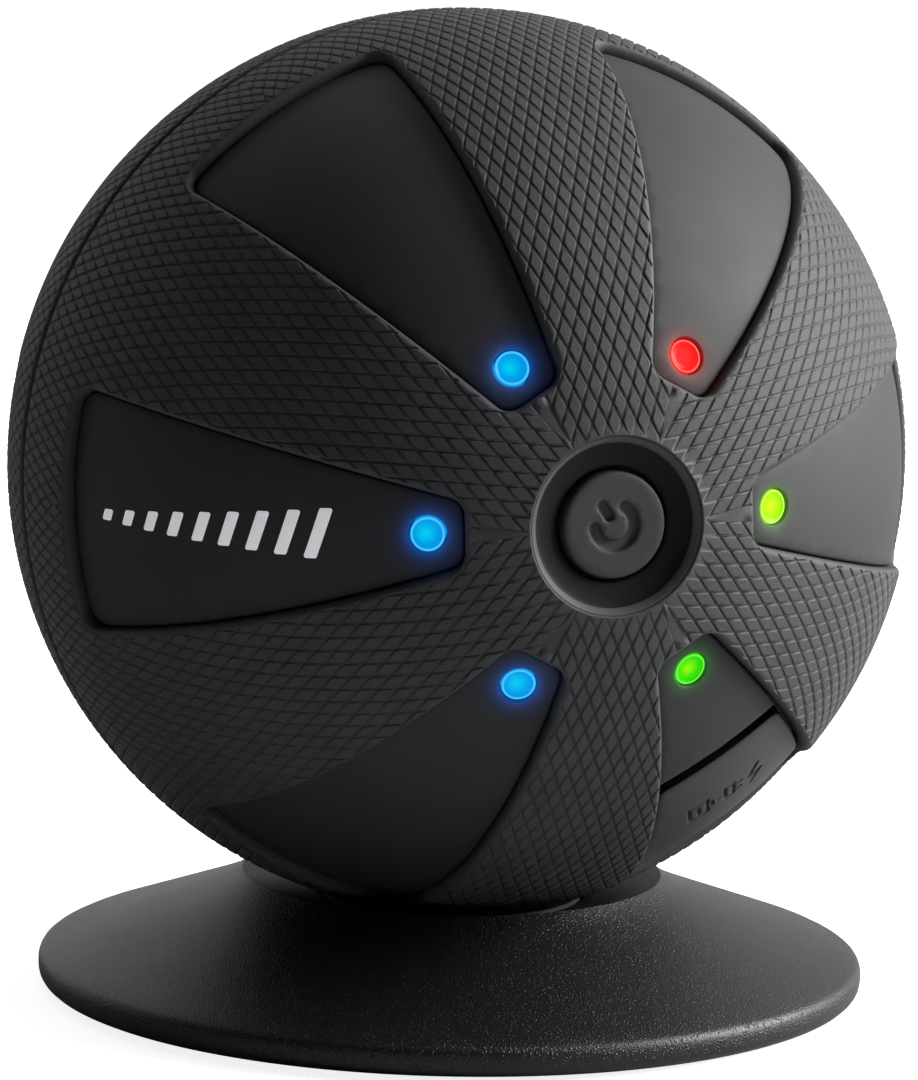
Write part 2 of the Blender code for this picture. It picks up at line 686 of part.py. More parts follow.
CAN_PROFILE = [(BUSHING_HOLE_R, 12.0), (MOTOR_R - 0.6, 12.0), (MOTOR_R, 11.4), (MOTOR_R, -14.7),
               (CAN_IN_R, -14.7), (CAN_IN_R, 10.6), (BUSHING_HOLE_R, 10.6)]
END_CAP_PROFILE = [(BUSHING_HOLE_R, -15.0), (MOTOR_R, -15.0), (MOTOR_R, -16.4),
                   (BUSHING_HOLE_R, -16.4)]
ROTOR_PROFILE = [(SHAFT_BORE_R, 7.0), (9.6, 7.0), (9.6, -10.0), (SHAFT_BORE_R, -10.0)]


def make_motor():
    turned("motor_can", CAN_PROFILE, 28, STEEL, MOTOR_FRAME)
    turned("motor_end_cap", END_CAP_PROFILE, 28, DARK_PLASTIC, MOTOR_FRAME)
    for number, (low, high) in enumerate(BUSHING_ENDS, 1):
        turned("motor_bushing_%d" % number,
               [(SHAFT_BORE_R, high), (BUSHING_R, high), (BUSHING_R, low), (SHAFT_BORE_R, low)],
               12, BRASS, MOTOR_FRAME)
    turned("rotor_core", ROTOR_PROFILE, 24, ROTOR_METAL, MOTOR_FRAME)
    shaft = rod("rotor_shaft", SHAFT_R, 51.0, 16, shift(z=MOTOR_Z), STEEL, axis='X')
    bevel(shaft, 0.3, 1, angle=40.0)


def make_weights():
    """Half discs on round hubs, one at each end of the shaft."""
    for number, side in enumerate((-1, 1), 1):
        x = side * WEIGHT_X
        place = shift(x, 0, MOTOR_Z)
        weight = rod("eccentric_weight_%d" % number, WEIGHT_R, WEIGHT_THICK, 32, place, STEEL,
                     axis='X')
        # take off the half towards the button
        cut(weight, box("cut_weight_%d" % number, (8.0, 24.0, 12.0), shift(x, 0, MOTOR_Z + 6.0)))
        join(weight, rod("weight_hub_%d" % number, HUB_R, WEIGHT_THICK, 20, place, axis='X'))
        cut(weight, rod("weight_bore_%d" % number, SHAFT_BORE_R, 10.0, 16, place, axis='X'))


# ------------------------------------------------- chassis, clamp and battery

CELL_R = 7.1
CELL_HALF = 20.0
CELL_Y = 7.5
CELL_Z = -18.3
CHASSIS_SIZE = (24.0, 38.0, 15.8)
CHASSIS_Z = -7.1            # middle of the chassis block
RAIL_Y = 15.0
EAR_R = 3.8
CLAMP_LENGTH = 10.0
CLAMP_THICK = 1.5
CLAMP_BASE_Z = POST_END     # the clamp's feet also stand a gap above the chassis
CLAMP_SCREW_Y = 16.6
CLAMP_SCREW_HEAD = 1.3
STRAP_SIZE = (10.0, 36.0, 11.6)
STRAP_TOP_Z = -15.3
SIDES = ((1, 1), (2, -1))   # (piece number, sign of y)


def make_chassis(motor_room, cell_rooms):
    """Motor saddle with cell troughs, and two rails with ears between the shell posts."""
    chassis = box("motor_chassis", CHASSIS_SIZE, shift(z=CHASSIS_Z), CHASSIS_PLASTIC)
    for number, side in SIDES:
        join(chassis, box("chassis_rail_%d" % number, (52.0, 5.0, EAR_THICK),
                          shift(y=side * RAIL_Y)))
    cut(chassis, motor_room, *cell_rooms)
    for number, x, y in ring(POST_RHO, POST_ANGLES):
        join(chassis, rod("chassis_ear_%d" % number, EAR_R, EAR_THICK, 20, shift(x, y)))
        cut(chassis, rod("chassis_hole_%d" % number, BIG_HOLE_R, 5.0, 12, shift(x, y)))
    for number, side in SIDES:
        cut(chassis, rod("clamp_pilot_%d" % number, SMALL_HOLE_R, 16.0, 10,
                         shift(y=side * CLAMP_SCREW_Y)))


def make_clamp(motor_room):
    """Strip over the motor with a foot on each side."""
    clamp = rod("motor_clamp", MOTOR_R + GAP + CLAMP_THICK, CLAMP_LENGTH, 32, shift(z=MOTOR_Z),
                STEEL, axis='X')
    # twice as thick as the feet: the lower half is cut away
    join(clamp, box("clamp_feet", (CLAMP_LENGTH, 38.0, 2 * CLAMP_THICK), shift(z=CLAMP_BASE_Z)))
    cut(clamp, motor_room,
        box("cut_clamp_lower", (12.0, 42.0, 20.0), shift(z=CLAMP_BASE_Z - 10.0)))
    screw_z = CLAMP_BASE_Z + CLAMP_THICK + GAP + CLAMP_SCREW_HEAD
    for number, side in SIDES:
        y = side * CLAMP_SCREW_Y
        cut(clamp, rod("clamp_hole_%d" % number, SMALL_HOLE_R, 6.0, 10, shift(0, y, 2.0)))
        screw("clamp_screw_%d" % number, head_r=1.9, head_thick=CLAMP_SCREW_HEAD,
              shank_r=SMALL_SHANK_R, length=9.0, steps=8, placement=shift(0, y, screw_z))


def make_battery(cell_rooms):
    for number, side in SIDES:
        cell = rod("battery_cell_%d" % number, CELL_R, 2 * CELL_HALF, 24,
                   shift(0, side * CELL_Y, CELL_Z), CELL_BLUE, axis='X')
        bevel(cell, 0.5, 1, angle=40.0)
    strap = box("battery_strap", STRAP_SIZE, shift(z=STRAP_TOP_Z - STRAP_SIZE[2] / 2),
                BLACK_RUBBER)
    bevel(strap, 3.0, 2)
    cut(strap, *cell_rooms)


def make_carriage():
    """Everything shaped around the motor and the cells."""
    motor_room = rod("cut_motor_room", MOTOR_R + GAP, 80.0, 32, shift(z=MOTOR_Z), axis='X')
    cell_rooms = [rod("cut_cell_room_%d" % number, CELL_R + GAP, 80.0, 24,
                      shift(0, side * CELL_Y, CELL_Z), axis='X') for number, side in SIDES]
    make_chassis(motor_room, cell_rooms)
    make_clamp(motor_room)
    make_battery(cell_rooms)


# ----------------------------------------------------------------------- wires

WIRE_R = 0.5
PATH_STEPS = 3              # samples per stretch of a wire's path

# (x, y, z) control points of the wire on the +Y side; the other one mirrors y
BATTERY_LEAD = [(-20.9, 7.5, -18.3), (-21.5, 10.5, -18.2), (-20.4, 15.5, -17.0),
                (-17.5, 20.6, -11.5), (-16.0, 22.6, 0.0), (-12.5, 22.4, 12.0),
                (-10.0, 20.0, 19.0), (-9.2, 18.2, 22.0)]
MOTOR_LEAD = [(-17.0, 10.6, 8.0), (-17.3, 12.2, 11.0), (-15.6, 13.0, 17.0), (-14.0, 13.0, 22.0)]


def smooth_path(controls):
    """Catmull-Rom samples through the control points."""
    knots = [Vector(control) for control in controls]
    knots = [knots[0] * 2 - knots[1]] + knots + [knots[-1] * 2 - knots[-2]]
    samples = []
    for i in range(1, len(knots) - 2):
        before, start, stop, after = knots[i - 1:i + 3]
        for k in range(PATH_STEPS):
            part = k / PATH_STEPS
            samples.append(0.5 * (
                2 * start + (stop - before) * part
                + (2 * before - 5 * start + 4 * stop - after) * part * part
                + (3 * start - before - 3 * stop + after) * part ** 3))
    samples.append(knots[-2])
    return samples


def make_lead(name, points, look):
    """A soft wire drawn as a thin tube through the given points."""
    curve = bpy.data.curves.new(name, 'CURVE')
    curve.dimensions = '3D'
    curve.bevel_depth = WIRE_R * MILLIMETRE
    curve.bevel_resolution = 1
    curve.use_fill_caps = True
    spline = curve.splines.new('POLY')
    spline.points.add(len(points) - 1)
    for point, place in zip(spline.points, points):
        point.co = (*(part * MILLIMETRE for part in place), 1.0)
    curve.materials.append(material(name, **look))
    wire = bpy.data.objects.new(name, curve)
    parts.objects.link(wire)
    wire.parent = ball_frame


def make_leads():
    for name, path in (("battery_lead", BATTERY_LEAD), ("motor_lead", MOTOR_LEAD)):
        for (number, side), look in zip(SIDES, (RED_WIRE, BLACK_WIRE)):
            points = smooth_path([(x, side * y, z) for x, y, z in path])
            make_lead("%s_%d" % (name, number), points, look)


# ----------------------------------------------------------------------- stand

# Heights here are above the floor.
RIM_R = 37.91
CUP_R = BALL_R + 0.6        # dish radius about the ball's centre
SEAT_R = BALL_R + 0.35      # seat ring's top, about the ball's centre
DISH_RHOS = (0.0, 3.1, 6.2, 9.2)
SEAT_RHOS = (9.5, 10.75, 12.0)
GROOVE_IN_R = 9.2           # groove for the seat ring
GROOVE_OUT_R = 12.3
GROOVE_FLOOR = 6.6
FLARE_RHOS = (19.3, 20.2, 21.4, 23.2, 28.0, 37.2)
FLARE_R = 37.5              # the flare is measured inward from here
FLARE_EDGE = 3.1            # height at the rim
FLARE_SLOPE = 0.355
FLARE_RISE = 0.43
FLARE_SPAN = 17.0
FLARE_POWER = 10.0
# stepped pocket in the underside: radius and ceiling of the three steps
FOOT_POCKET_R, FOOT_POCKET_TOP = 34.7, 1.5
WIDE_POCKET_R, WIDE_POCKET_TOP = 31.3, 3.3
DEEP_POCKET_R, DEEP_POCKET_TOP = 24.0, 5.4
FOOT_R = 34.4
FOOT_TOP = FOOT_POCKET_TOP - GAP
FOOT_EDGE = 0.25            # chamfer around the foot's underside
BASE_SCREW_RHO = 20.5
BASE_SCREWS = ring(BASE_SCREW_RHO, (90.0, 210.0, 330.0))


def ball_height(radius, rho):
    """Height of a sphere about the ball's centre, at distance rho from the axis."""
    return BALL_HEIGHT - math.sqrt(radius * radius - rho * rho)


def flare_height(rho):
    """Top of the stand: a shallow cone from the rim that sweeps up into the cup's lip."""
    inward = FLARE_R - rho
    return FLARE_EDGE + FLARE_SLOPE * inward + FLARE_RISE * (inward / FLARE_SPAN) ** FLARE_POWER


def make_stand():
    dish = [(rho, ball_height(CUP_R, rho)) for rho in DISH_RHOS]
    groove = [(GROOVE_IN_R, GROOVE_FLOOR), (GROOVE_OUT_R, GROOVE_FLOOR), (GROOVE_OUT_R, 8.4)]
    lip = [(18.7, 10.3)]
    flare = [(rho, flare_height(rho)) for rho in FLARE_RHOS]
    rim = [(37.7, 2.85), (RIM_R, 2.3), (RIM_R, 1.1), (37.1, 0.3)]
    pocket = [(FOOT_POCKET_R, 0.3), (FOOT_POCKET_R, FOOT_POCKET_TOP),
              (WIDE_POCKET_R, FOOT_POCKET_TOP), (WIDE_POCKET_R, WIDE_POCKET_TOP),
              (DEEP_POCKET_R, WIDE_POCKET_TOP), (DEEP_POCKET_R, DEEP_POCKET_TOP),
              (0.0, DEEP_POCKET_TOP)]
    stand = turned("stand_body", dish + groove + lip + flare + rim + pocket, 48, STAND_PLASTIC,
                   in_ball=False)
    for number, x, y in BASE_SCREWS:
        cut(stand, rod("base_pilot_%d" % number, BIG_HOLE_R, 4.4, 12, shift(x, y, 5.1),
                       in_ball=False))


def make_seat_ring():
    floor = GROOVE_FLOOR + GAP
    profile = ([(rho, ball_height(SEAT_R, rho)) for rho in SEAT_RHOS]
               + [(SEAT_RHOS[-1], floor), (SEAT_RHOS[0], floor)])
    turned("seat_ring", profile, 36, BLACK_RUBBER, in_ball=False)


def make_base_weight():
    """Steel disc filling the pocket, held by three screws."""
    wide_r, wide_top = WIDE_POCKET_R - GAP, WIDE_POCKET_TOP - GAP
    deep_r, deep_top = DEEP_POCKET_R - GAP, DEEP_POCKET_TOP - GAP
    underside = FOOT_TOP + GAP
    weight = turned("base_weight", [
        (0.0, deep_top), (deep_r, deep_top), (deep_r, wide_top), (wide_r, wide_top),
        (wide_r, underside), (0.0, underside)], 36, STEEL, in_ball=False)
    for number, x, y in BASE_SCREWS:
        cut(weight,
            rod("base_hole_%d" % number, BIG_HOLE_R, 20.0, 12, shift(x, y, 5.0), in_ball=False),
            rod("base_counterbore_%d" % number, 2.9, 4.0, 16, shift(x, y, 1.7), in_ball=False))
        screw("base_screw_%d" % number, head_r=2.6, head_thick=1.6, shank_r=BIG_SHANK_R,
              length=5.2, steps=10, placement=shift(x, y, 1.8) @ HEAD_DOWN, in_ball=False)


def make_foot():
    turned("foot_pad", [(0, FOOT_TOP), (FOOT_R, FOOT_TOP), (FOOT_R, FOOT_EDGE),
                        (FOOT_R - FOOT_EDGE, 0.0), (0, 0.0)],
           36, BLACK_RUBBER, in_ball=False)


# -------------------------------------------------------------------- assembly

make_skin("front", skin_profile(HOLE_R), mirror=False)
make_skin("rear", flipped(skin_profile(0.0)), mirror=True)
shell_core = turned("shell_core", arc(CORE_R, 0.0, 180.0, 9.0), 40)
make_front_shell(shell_core)
make_rear_shell(shell_core)
make_gasket()
make_shell_screws()
make_button()
make_switch()
make_board()
make_lights()
make_flap()
make_charge_port()
make_motor()
make_weights()
make_carriage()
make_leads()
make_stand()
make_seat_ring()
make_base_weight()
make_foot()

bpy.context.view_layer.update()

# round pieces are shaded smooth, flat faces stay crisp
for part in parts.objects:
    if part.type == 'MESH':
        part.data.shade_smooth()
        part.data.set_sharp_from_angle(angle=math.radians(35.0))
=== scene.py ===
"""A ball with a button, six indicator lamps and rubber grips, resting on a round flared stand.

Row frame: metres, +Z up, the stand on the floor about the Z axis, the front facing -Y.
Ball frame: millimetres from the ball's centre, +Z through the button pole (the row's -Y) and
+X towards the panel at 0 degrees. The front half is z > 0, the rear half z < 0.
Polar map: degrees about a panel's middle line, u away from the pole and v across the panel.
"""

import bpy
import bmesh
import json
import math
import numpy as np
from mathutils import Matrix, Vector
from mathutils.geometry import delaunay_2d_cdt

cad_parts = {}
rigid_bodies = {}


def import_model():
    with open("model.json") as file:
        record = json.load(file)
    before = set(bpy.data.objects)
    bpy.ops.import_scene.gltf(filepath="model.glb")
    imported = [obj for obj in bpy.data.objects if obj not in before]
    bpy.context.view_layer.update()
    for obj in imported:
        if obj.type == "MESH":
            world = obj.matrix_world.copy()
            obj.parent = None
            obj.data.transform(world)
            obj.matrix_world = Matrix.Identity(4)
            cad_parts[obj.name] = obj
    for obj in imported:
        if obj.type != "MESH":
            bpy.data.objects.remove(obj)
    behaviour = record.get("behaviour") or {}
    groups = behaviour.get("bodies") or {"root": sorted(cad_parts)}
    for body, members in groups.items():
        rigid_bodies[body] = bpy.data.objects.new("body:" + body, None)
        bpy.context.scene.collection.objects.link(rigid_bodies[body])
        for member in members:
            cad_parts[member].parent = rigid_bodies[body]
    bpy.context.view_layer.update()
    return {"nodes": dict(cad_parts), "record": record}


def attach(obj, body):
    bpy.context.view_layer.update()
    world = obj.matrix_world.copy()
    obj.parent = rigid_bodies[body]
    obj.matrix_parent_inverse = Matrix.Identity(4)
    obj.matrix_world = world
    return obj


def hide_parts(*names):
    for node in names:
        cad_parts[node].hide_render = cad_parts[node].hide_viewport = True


for old in list(bpy.data.objects):
    bpy.data.objects.remove(old, do_unlink=True)

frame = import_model()

# ------------------------------------------------------------------ dimensions
# millimetres and degrees unless noted

BALL_R = 41.25
BALL_HEIGHT = 48.5                  # ball's centre above the floor
TURN = math.radians(2.62)           # ball's turn about its button axis
AXIS_X = np.array([math.cos(TURN), 0.0, math.sin(TURN)])
AXIS_Y = np.array([-math.sin(TURN), 0.0, math.cos(TURN)])
AXIS_Z = np.array([0.0, -1.0, 0.0])
MM = 0.001                          # metres
MM_PER_DEG = BALL_R * math.pi / 180.0

PANEL_R = 40.15
PANEL_TOP = PANEL_R + 0.03
PANEL_DEG_PER_MM = 1 / (PANEL_R * math.pi / 180)
SKIN_INNER_R = 39.5                 # inside of the grips
PANEL_ANGLES = (120.0, 60.0, 0.0, 300.0, 240.0, 180.0)
HALF_SECTOR = 180.0 / len(PANEL_ANGLES)     # from a rib's axis to a panel's middle
PORT_ANGLE = PANEL_ANGLES[3]        # panel with the port and its flap
BARS_ANGLE = PANEL_ANGLES[5]        # panel with the printed bars
LAMP_POLAR = 23.05

# window in the grip, a rounded trapezoid in the polar map
WINDOW_IN, WINDOW_OUT = 18.55, 76.2
WINDOW_SLOPE, WINDOW_OFFSET = 0.305, -1.62
FILLET_IN, FILLET_OUT = 2.3, 3.2

HOLE_POLAR = math.degrees(math.asin(7.70 / BALL_R))     # button hole's edge
SEAM_POLAR = 90.0 - math.degrees(0.45 / BALL_R)         # grip's edge at the equator

# diamond lattice: two families of grooves, counted in cells per degree
CELLS_X, CELLS_Y, PHASE = 0.54, 0.224, 0.30
CELLS_PER_DEG = math.hypot(CELLS_X, CELLS_Y)
GROOVE_HALF = 0.175
GROOVE_DEPTH = 0.215

# lamps: light spilt on the skin with its gain, then the lens's face, rim and hot spot (linear)
LAMP_LOOKS = {
    "blue": dict(spill=(0.0, 0.16, 0.85), gain=1.0,
                 face=(0.0, 0.30, 0.74), rim=(0.14, 0.68, 1.0), spot=(0.0, 0.62, 0.84)),
    "red": dict(spill=(0.85, 0.008, 0.008), gain=0.95,
                face=(0.82, 0.012, 0.012), rim=(1.0, 0.22, 0.16), spot=(1.0, 0.03, 0.03)),
    "lime": dict(spill=(0.22, 0.80, 0.004), gain=0.55,
                 face=(0.30, 0.78, 0.0), rim=(0.66, 1.0, 0.18), spot=(0.66, 0.95, 0.01)),
    "green": dict(spill=(0.02, 0.60, 0.002), gain=0.5,
                  face=(0.02, 0.62, 0.0), rim=(0.25, 0.95, 0.10), spot=(0.30, 0.80, 0.0)),
}
LAMP_COLOURS = ("blue", "red", "lime", "green", "blue", "blue")     # one for each panel


# ---------------------------------------------------------------------- frames

def turn_to_row(vectors):
    """Ball-frame vectors (n, 3) turned to the row frame."""
    return vectors[:, :1] * AXIS_X + vectors[:, 1:2] * AXIS_Y + vectors[:, 2:] * AXIS_Z


def to_row(points):
    """Ball-frame points in mm to the row frame in metres."""
    points = np.asarray(points, float).reshape(-1, 3)
    return (turn_to_row(points) + np.array([0.0, 0.0, BALL_HEIGHT])) * MM


def on_sphere(polar, around):
    """Unit vectors from polar and azimuth angles in radians."""
    polar, around = np.broadcast_arrays(polar, around)
    return np.stack([np.sin(polar) * np.cos(around), np.sin(polar) * np.sin(around),
                     np.cos(polar)], 1)


def direction(uv, angle):
    """Unit vectors for polar-map points about the panel at the angle."""
    uv = np.asarray(uv, float).reshape(-1, 2)
    polar = np.radians(np.hypot(uv[:, 0], uv[:, 1]))
    return on_sphere(polar, math.radians(angle) + np.arctan2(uv[:, 1], uv[:, 0]))


def polar_of(dirs):
    return np.degrees(np.arccos(np.clip(dirs[:, 2], -1, 1)))


def around_of(dirs):
    return np.degrees(np.arctan2(dirs[:, 1], dirs[:, 0]))


def radial_matrix(polar, angle, radius):
    """Placement on a panel's middle line: Z outward, X away from the pole, Y across."""
    out = direction([(polar, 0.0)], angle)[0]
    z = Vector(out)
    x = Vector((0, 0, -1)) - z * (-z.z)
    x.normalize()
    y = z.cross(x)
    return Matrix(((x.x, y.x, z.x, out[0] * radius),
                   (x.y, y.y, z.y, out[1] * radius),
                   (x.z, y.z, z.z, out[2] * radius),
                   (0, 0, 0, 1)))


# --------------------------------------------------------------- plane geometry

def inside(poly, points):
    """Even-odd test of points against a closed polygon."""
    poly = np.asarray(poly, float)
    after = np.roll(poly, -1, axis=0)
    x, y = points[:, 0][:, None], points[:, 1][:, None]
    x0, y0 = poly[:, 0][None], poly[:, 1][None]
    x1, y1 = after[:, 0][None], after[:, 1][None]
    rise = np.where(y1 == y0, 1e-12, y1 - y0)
    hit = ((y0 > y) != (y1 > y)) & (x < (x1 - x0) * (y - y0) / rise + x0)
    return (hit.sum(axis=1) % 2) == 1


def line_distance(points, line, closed=True):
    """Smallest distance from each point to a polyline, in two or three dimensions."""
    line = np.asarray(line, float)
    start = line if closed else line[:-1]
    end = np.roll(line, -1, axis=0) if closed else line[1:]
    along = end - start
    length2 = np.maximum((along * along).sum(1), 1e-15)
    best = np.full(len(points), 1e9)
    block = 4000        # points at a time, to bound the memory used
    for first in range(0, len(points), block):
        reach = points[first:first + block][:, None, :] - start[None]
        t = np.clip((reach * along[None]).sum(2) / length2[None], 0, 1)
        gap = reach - t[..., None] * along[None]
        best[first:first + block] = np.sqrt((gap * gap).sum(2)).min(1)
    return best


def smoothstep(t):
    t = np.clip(t, 0.0, 1.0)
    return t * t * (3 - 2 * t)


def rounded_edge(distance, radius):
    """Height of a quarter-round edge below the surface, from the distance to the edge."""
    across = np.clip(1 - distance / radius, 0, 1)
    return -radius * (1 - np.sqrt(np.maximum(1 - across ** 2, 0)))


def circle(radius, count, centre=(0.0, 0.0)):
    return [(centre[0] + radius * math.cos(2 * math.pi * k / count),
             centre[1] + radius * math.sin(2 * math.pi * k / count)) for k in range(count)]


def fillet(corners, step=12.0):
    """Round the corners of a closed polygon given as (x, y, radius)."""
    out = []
    for i, (x, y, radius) in enumerate(corners):
        if radius <= 0:
            out.append((x, y))
            continue
        before, after = corners[i - 1], corners[(i + 1) % len(corners)]
        corner = Vector((x, y))
        back = Vector((before[0] - x, before[1] - y)).normalized()
        ahead = Vector((after[0] - x, after[1] - y)).normalized()
        half = back.angle(ahead) / 2
        reach = radius / math.tan(half)
        centre = corner + (back + ahead).normalized() * (radius / math.sin(half))
        start = corner + back * reach - centre
        end = corner + ahead * reach - centre
        a0, a1 = math.atan2(start.y, start.x), math.atan2(end.y, end.x)
        while a1 - a0 > math.pi:
            a1 -= 2 * math.pi
        while a1 - a0 < -math.pi:
            a1 += 2 * math.pi
        count = max(2, int(abs(math.degrees(a1 - a0)) / step) + 1)
        for k in range(count + 1):
            t = a0 + (a1 - a0) * k / count
            out.append((centre.x + radius * math.cos(t), centre.y + radius * math.sin(t)))
    return out


def densify(poly, step):
    """Points no further apart than step along a closed polygon."""
    out = []
    for i in range(len(poly)):
        start = np.array(poly[i], float)
        end = np.array(poly[(i + 1) % len(poly)], float)
        count = max(1, int(math.ceil(np.linalg.norm(end - start) / step)))
        for k in range(count):
            out.append(tuple(start + (end - start) * k / count))
    return out


def offset_closed(poly, distance):
    """Moves a counter-clockwise polygon's points inward along averaged normals."""
    poly = np.asarray(poly, float)
    tangent = np.roll(poly, -1, 0) - np.roll(poly, 1, 0)
    tangent /= np.maximum(np.linalg.norm(tangent, axis=1, keepdims=True), 1e-12)
    return poly + np.stack([-tangent[:, 1], tangent[:, 0]], 1) * distance


def capsule(start, end, radius, steps=8):
    """Closed outline of a round-ended stroke."""
    heading = math.atan2(end[1] - start[1], end[0] - start[0])
    out = []
    for centre, first in ((end, heading - math.pi / 2), (start, heading + math.pi / 2)):
        for k in range(steps + 1):
            t = first + math.pi * k / steps
            out.append((centre[0] + radius * math.cos(t), centre[1] + radius * math.sin(t)))
    return out


def hexgrid(low, high, step):
    """Staggered grid of points filling a rectangle."""
    points = []
    row = 0
    y = low[1]
    while y <= high[1]:
        x = low[0] + (step / 2 if row % 2 else 0)
        while x <= high[0]:
            points.append((x, y))
            x += step
        y += step * math.sqrt(3) / 2
        row += 1
    return np.array(points, float).reshape(-1, 2)


def half_width(u):
    """Half the window's width across, at u."""
    return WINDOW_SLOPE * u + WINDOW_OFFSET


def window_outline(inset=0.0, u_in=WINDOW_IN, u_out=WINDOW_OUT, fillet_in=FILLET_IN,
                   fillet_out=FILLET_OUT, straight_out=False):
    """Rounded trapezoid, counter-clockwise. The outer end lies on a circle of latitude, or
    with straight_out on a straight line at u_out, which the inset doesn't move."""
    u0 = u_in + inset
    half_in = half_width(u0) - inset
    corner_u, arc = u_out, []
    if not straight_out:
        polar = corner_u = u_out - inset
        for _ in range(40):         # settles where the side meets the circle
            half = half_width(corner_u) - inset
            corner_u = math.sqrt(max(polar * polar - half * half, 0.0))
    half_out = half_width(corner_u) - inset
    if not straight_out:
        a0, a1 = math.atan2(-half_out, corner_u), math.atan2(half_out, corner_u)
        margin = 1.6 * fillet_out / u_out       # radians kept free for the fillets
        for k in range(13):
            t = a0 + margin + (a1 - a0 - 2 * margin) * k / 12
            arc.append((polar * math.cos(t), polar * math.sin(t), 0))
    return fillet([(u0, half_in, fillet_in), (u0, -half_in, fillet_in),
                   (corner_u, -half_out, fillet_out), *arc, (corner_u, half_out, fillet_out)])


# ---------------------------------------------------------------- triangulation

def triangulate(points, edges, eps=1e-5):
    """Constrained Delaunay triangulation: vertices and triangles."""
    result = delaunay_2d_cdt([Vector((float(x), float(y))) for x, y in points],
                             [(int(a), int(b)) for a, b in edges], [], 0, eps, False)
    verts = np.array([(v.x, v.y) for v in result[0]], float)
    tris = [(face[0], face[k], face[k + 1]) for face in result[2] for k in range(1, len(face) - 1)]
    return verts, np.array(tris, int)


class Sketch:
    """Lines and points in the plane, in degrees; points closer than JOIN become one."""

    JOIN = 1e-3

    def __init__(self):
        self.points, self.edges, self.cells = [], set(), {}

    def point(self, place):
        column = int(math.floor(place[0] / self.JOIN))
        row = int(math.floor(place[1] / self.JOIN))
        for ix in (column - 1, column, column + 1):
            for iy in (row - 1, row, row + 1):
                for k in self.cells.get((ix, iy), ()):
                    near = self.points[k]
                    if math.hypot(near[0] - place[0], near[1] - place[1]) < self.JOIN:
                        return k
        self.points.append((float(place[0]), float(place[1])))
        self.cells.setdefault((column, row), []).append(len(self.points) - 1)
        return len(self.points) - 1

    def line(self, places):
        ids = [self.point(place) for place in places]
        for a, b in zip(ids, ids[1:]):
            if a != b:
                self.edges.add((min(a, b), max(a, b)))

    def triangulate(self):
        return triangulate(self.points, sorted(self.edges), 2e-4)


def boundary_edges(tris):
    """Directed edges used by one triangle only."""
    edges = np.concatenate([tris[:, [0, 1]], tris[:, [1, 2]], tris[:, [2, 0]]])
    key = np.sort(edges, axis=1)
    code = key[:, 0].astype(np.int64) * 10_000_000 + key[:, 1]
    _, first, count = np.unique(code, return_index=True, return_counts=True)
    return edges[first[count == 1]]


def renumber(tris):
    """The vertices in use, and the triangles counted in those."""
    used, index = np.unique(tris, return_inverse=True)
    return used, index.reshape(tris.shape)


def trimmed(verts, tris, keep, min_area):
    """Drops the triangles not kept, slivers and loose vertices."""
    a, b, c = (verts[tris[:, k]] for k in range(3))
    keep = keep & (np.abs(np.cross(b - a, c - a)) > min_area)
    used, tris = renumber(tris[keep])
    return verts[used], tris


def outward(verts, tris):
    """Turns a closed solid's triangles to face outward."""
    corners = verts[tris]
    volume = (np.cross(corners[:, 0], corners[:, 1]) * corners[:, 2]).sum()
    return verts, (tris[:, ::-1] if volume < 0 else tris)


# ----------------------------------------------------------------- solid shapes
# each is a pair: vertices (n, 3) in mm, triangles (m, 3)

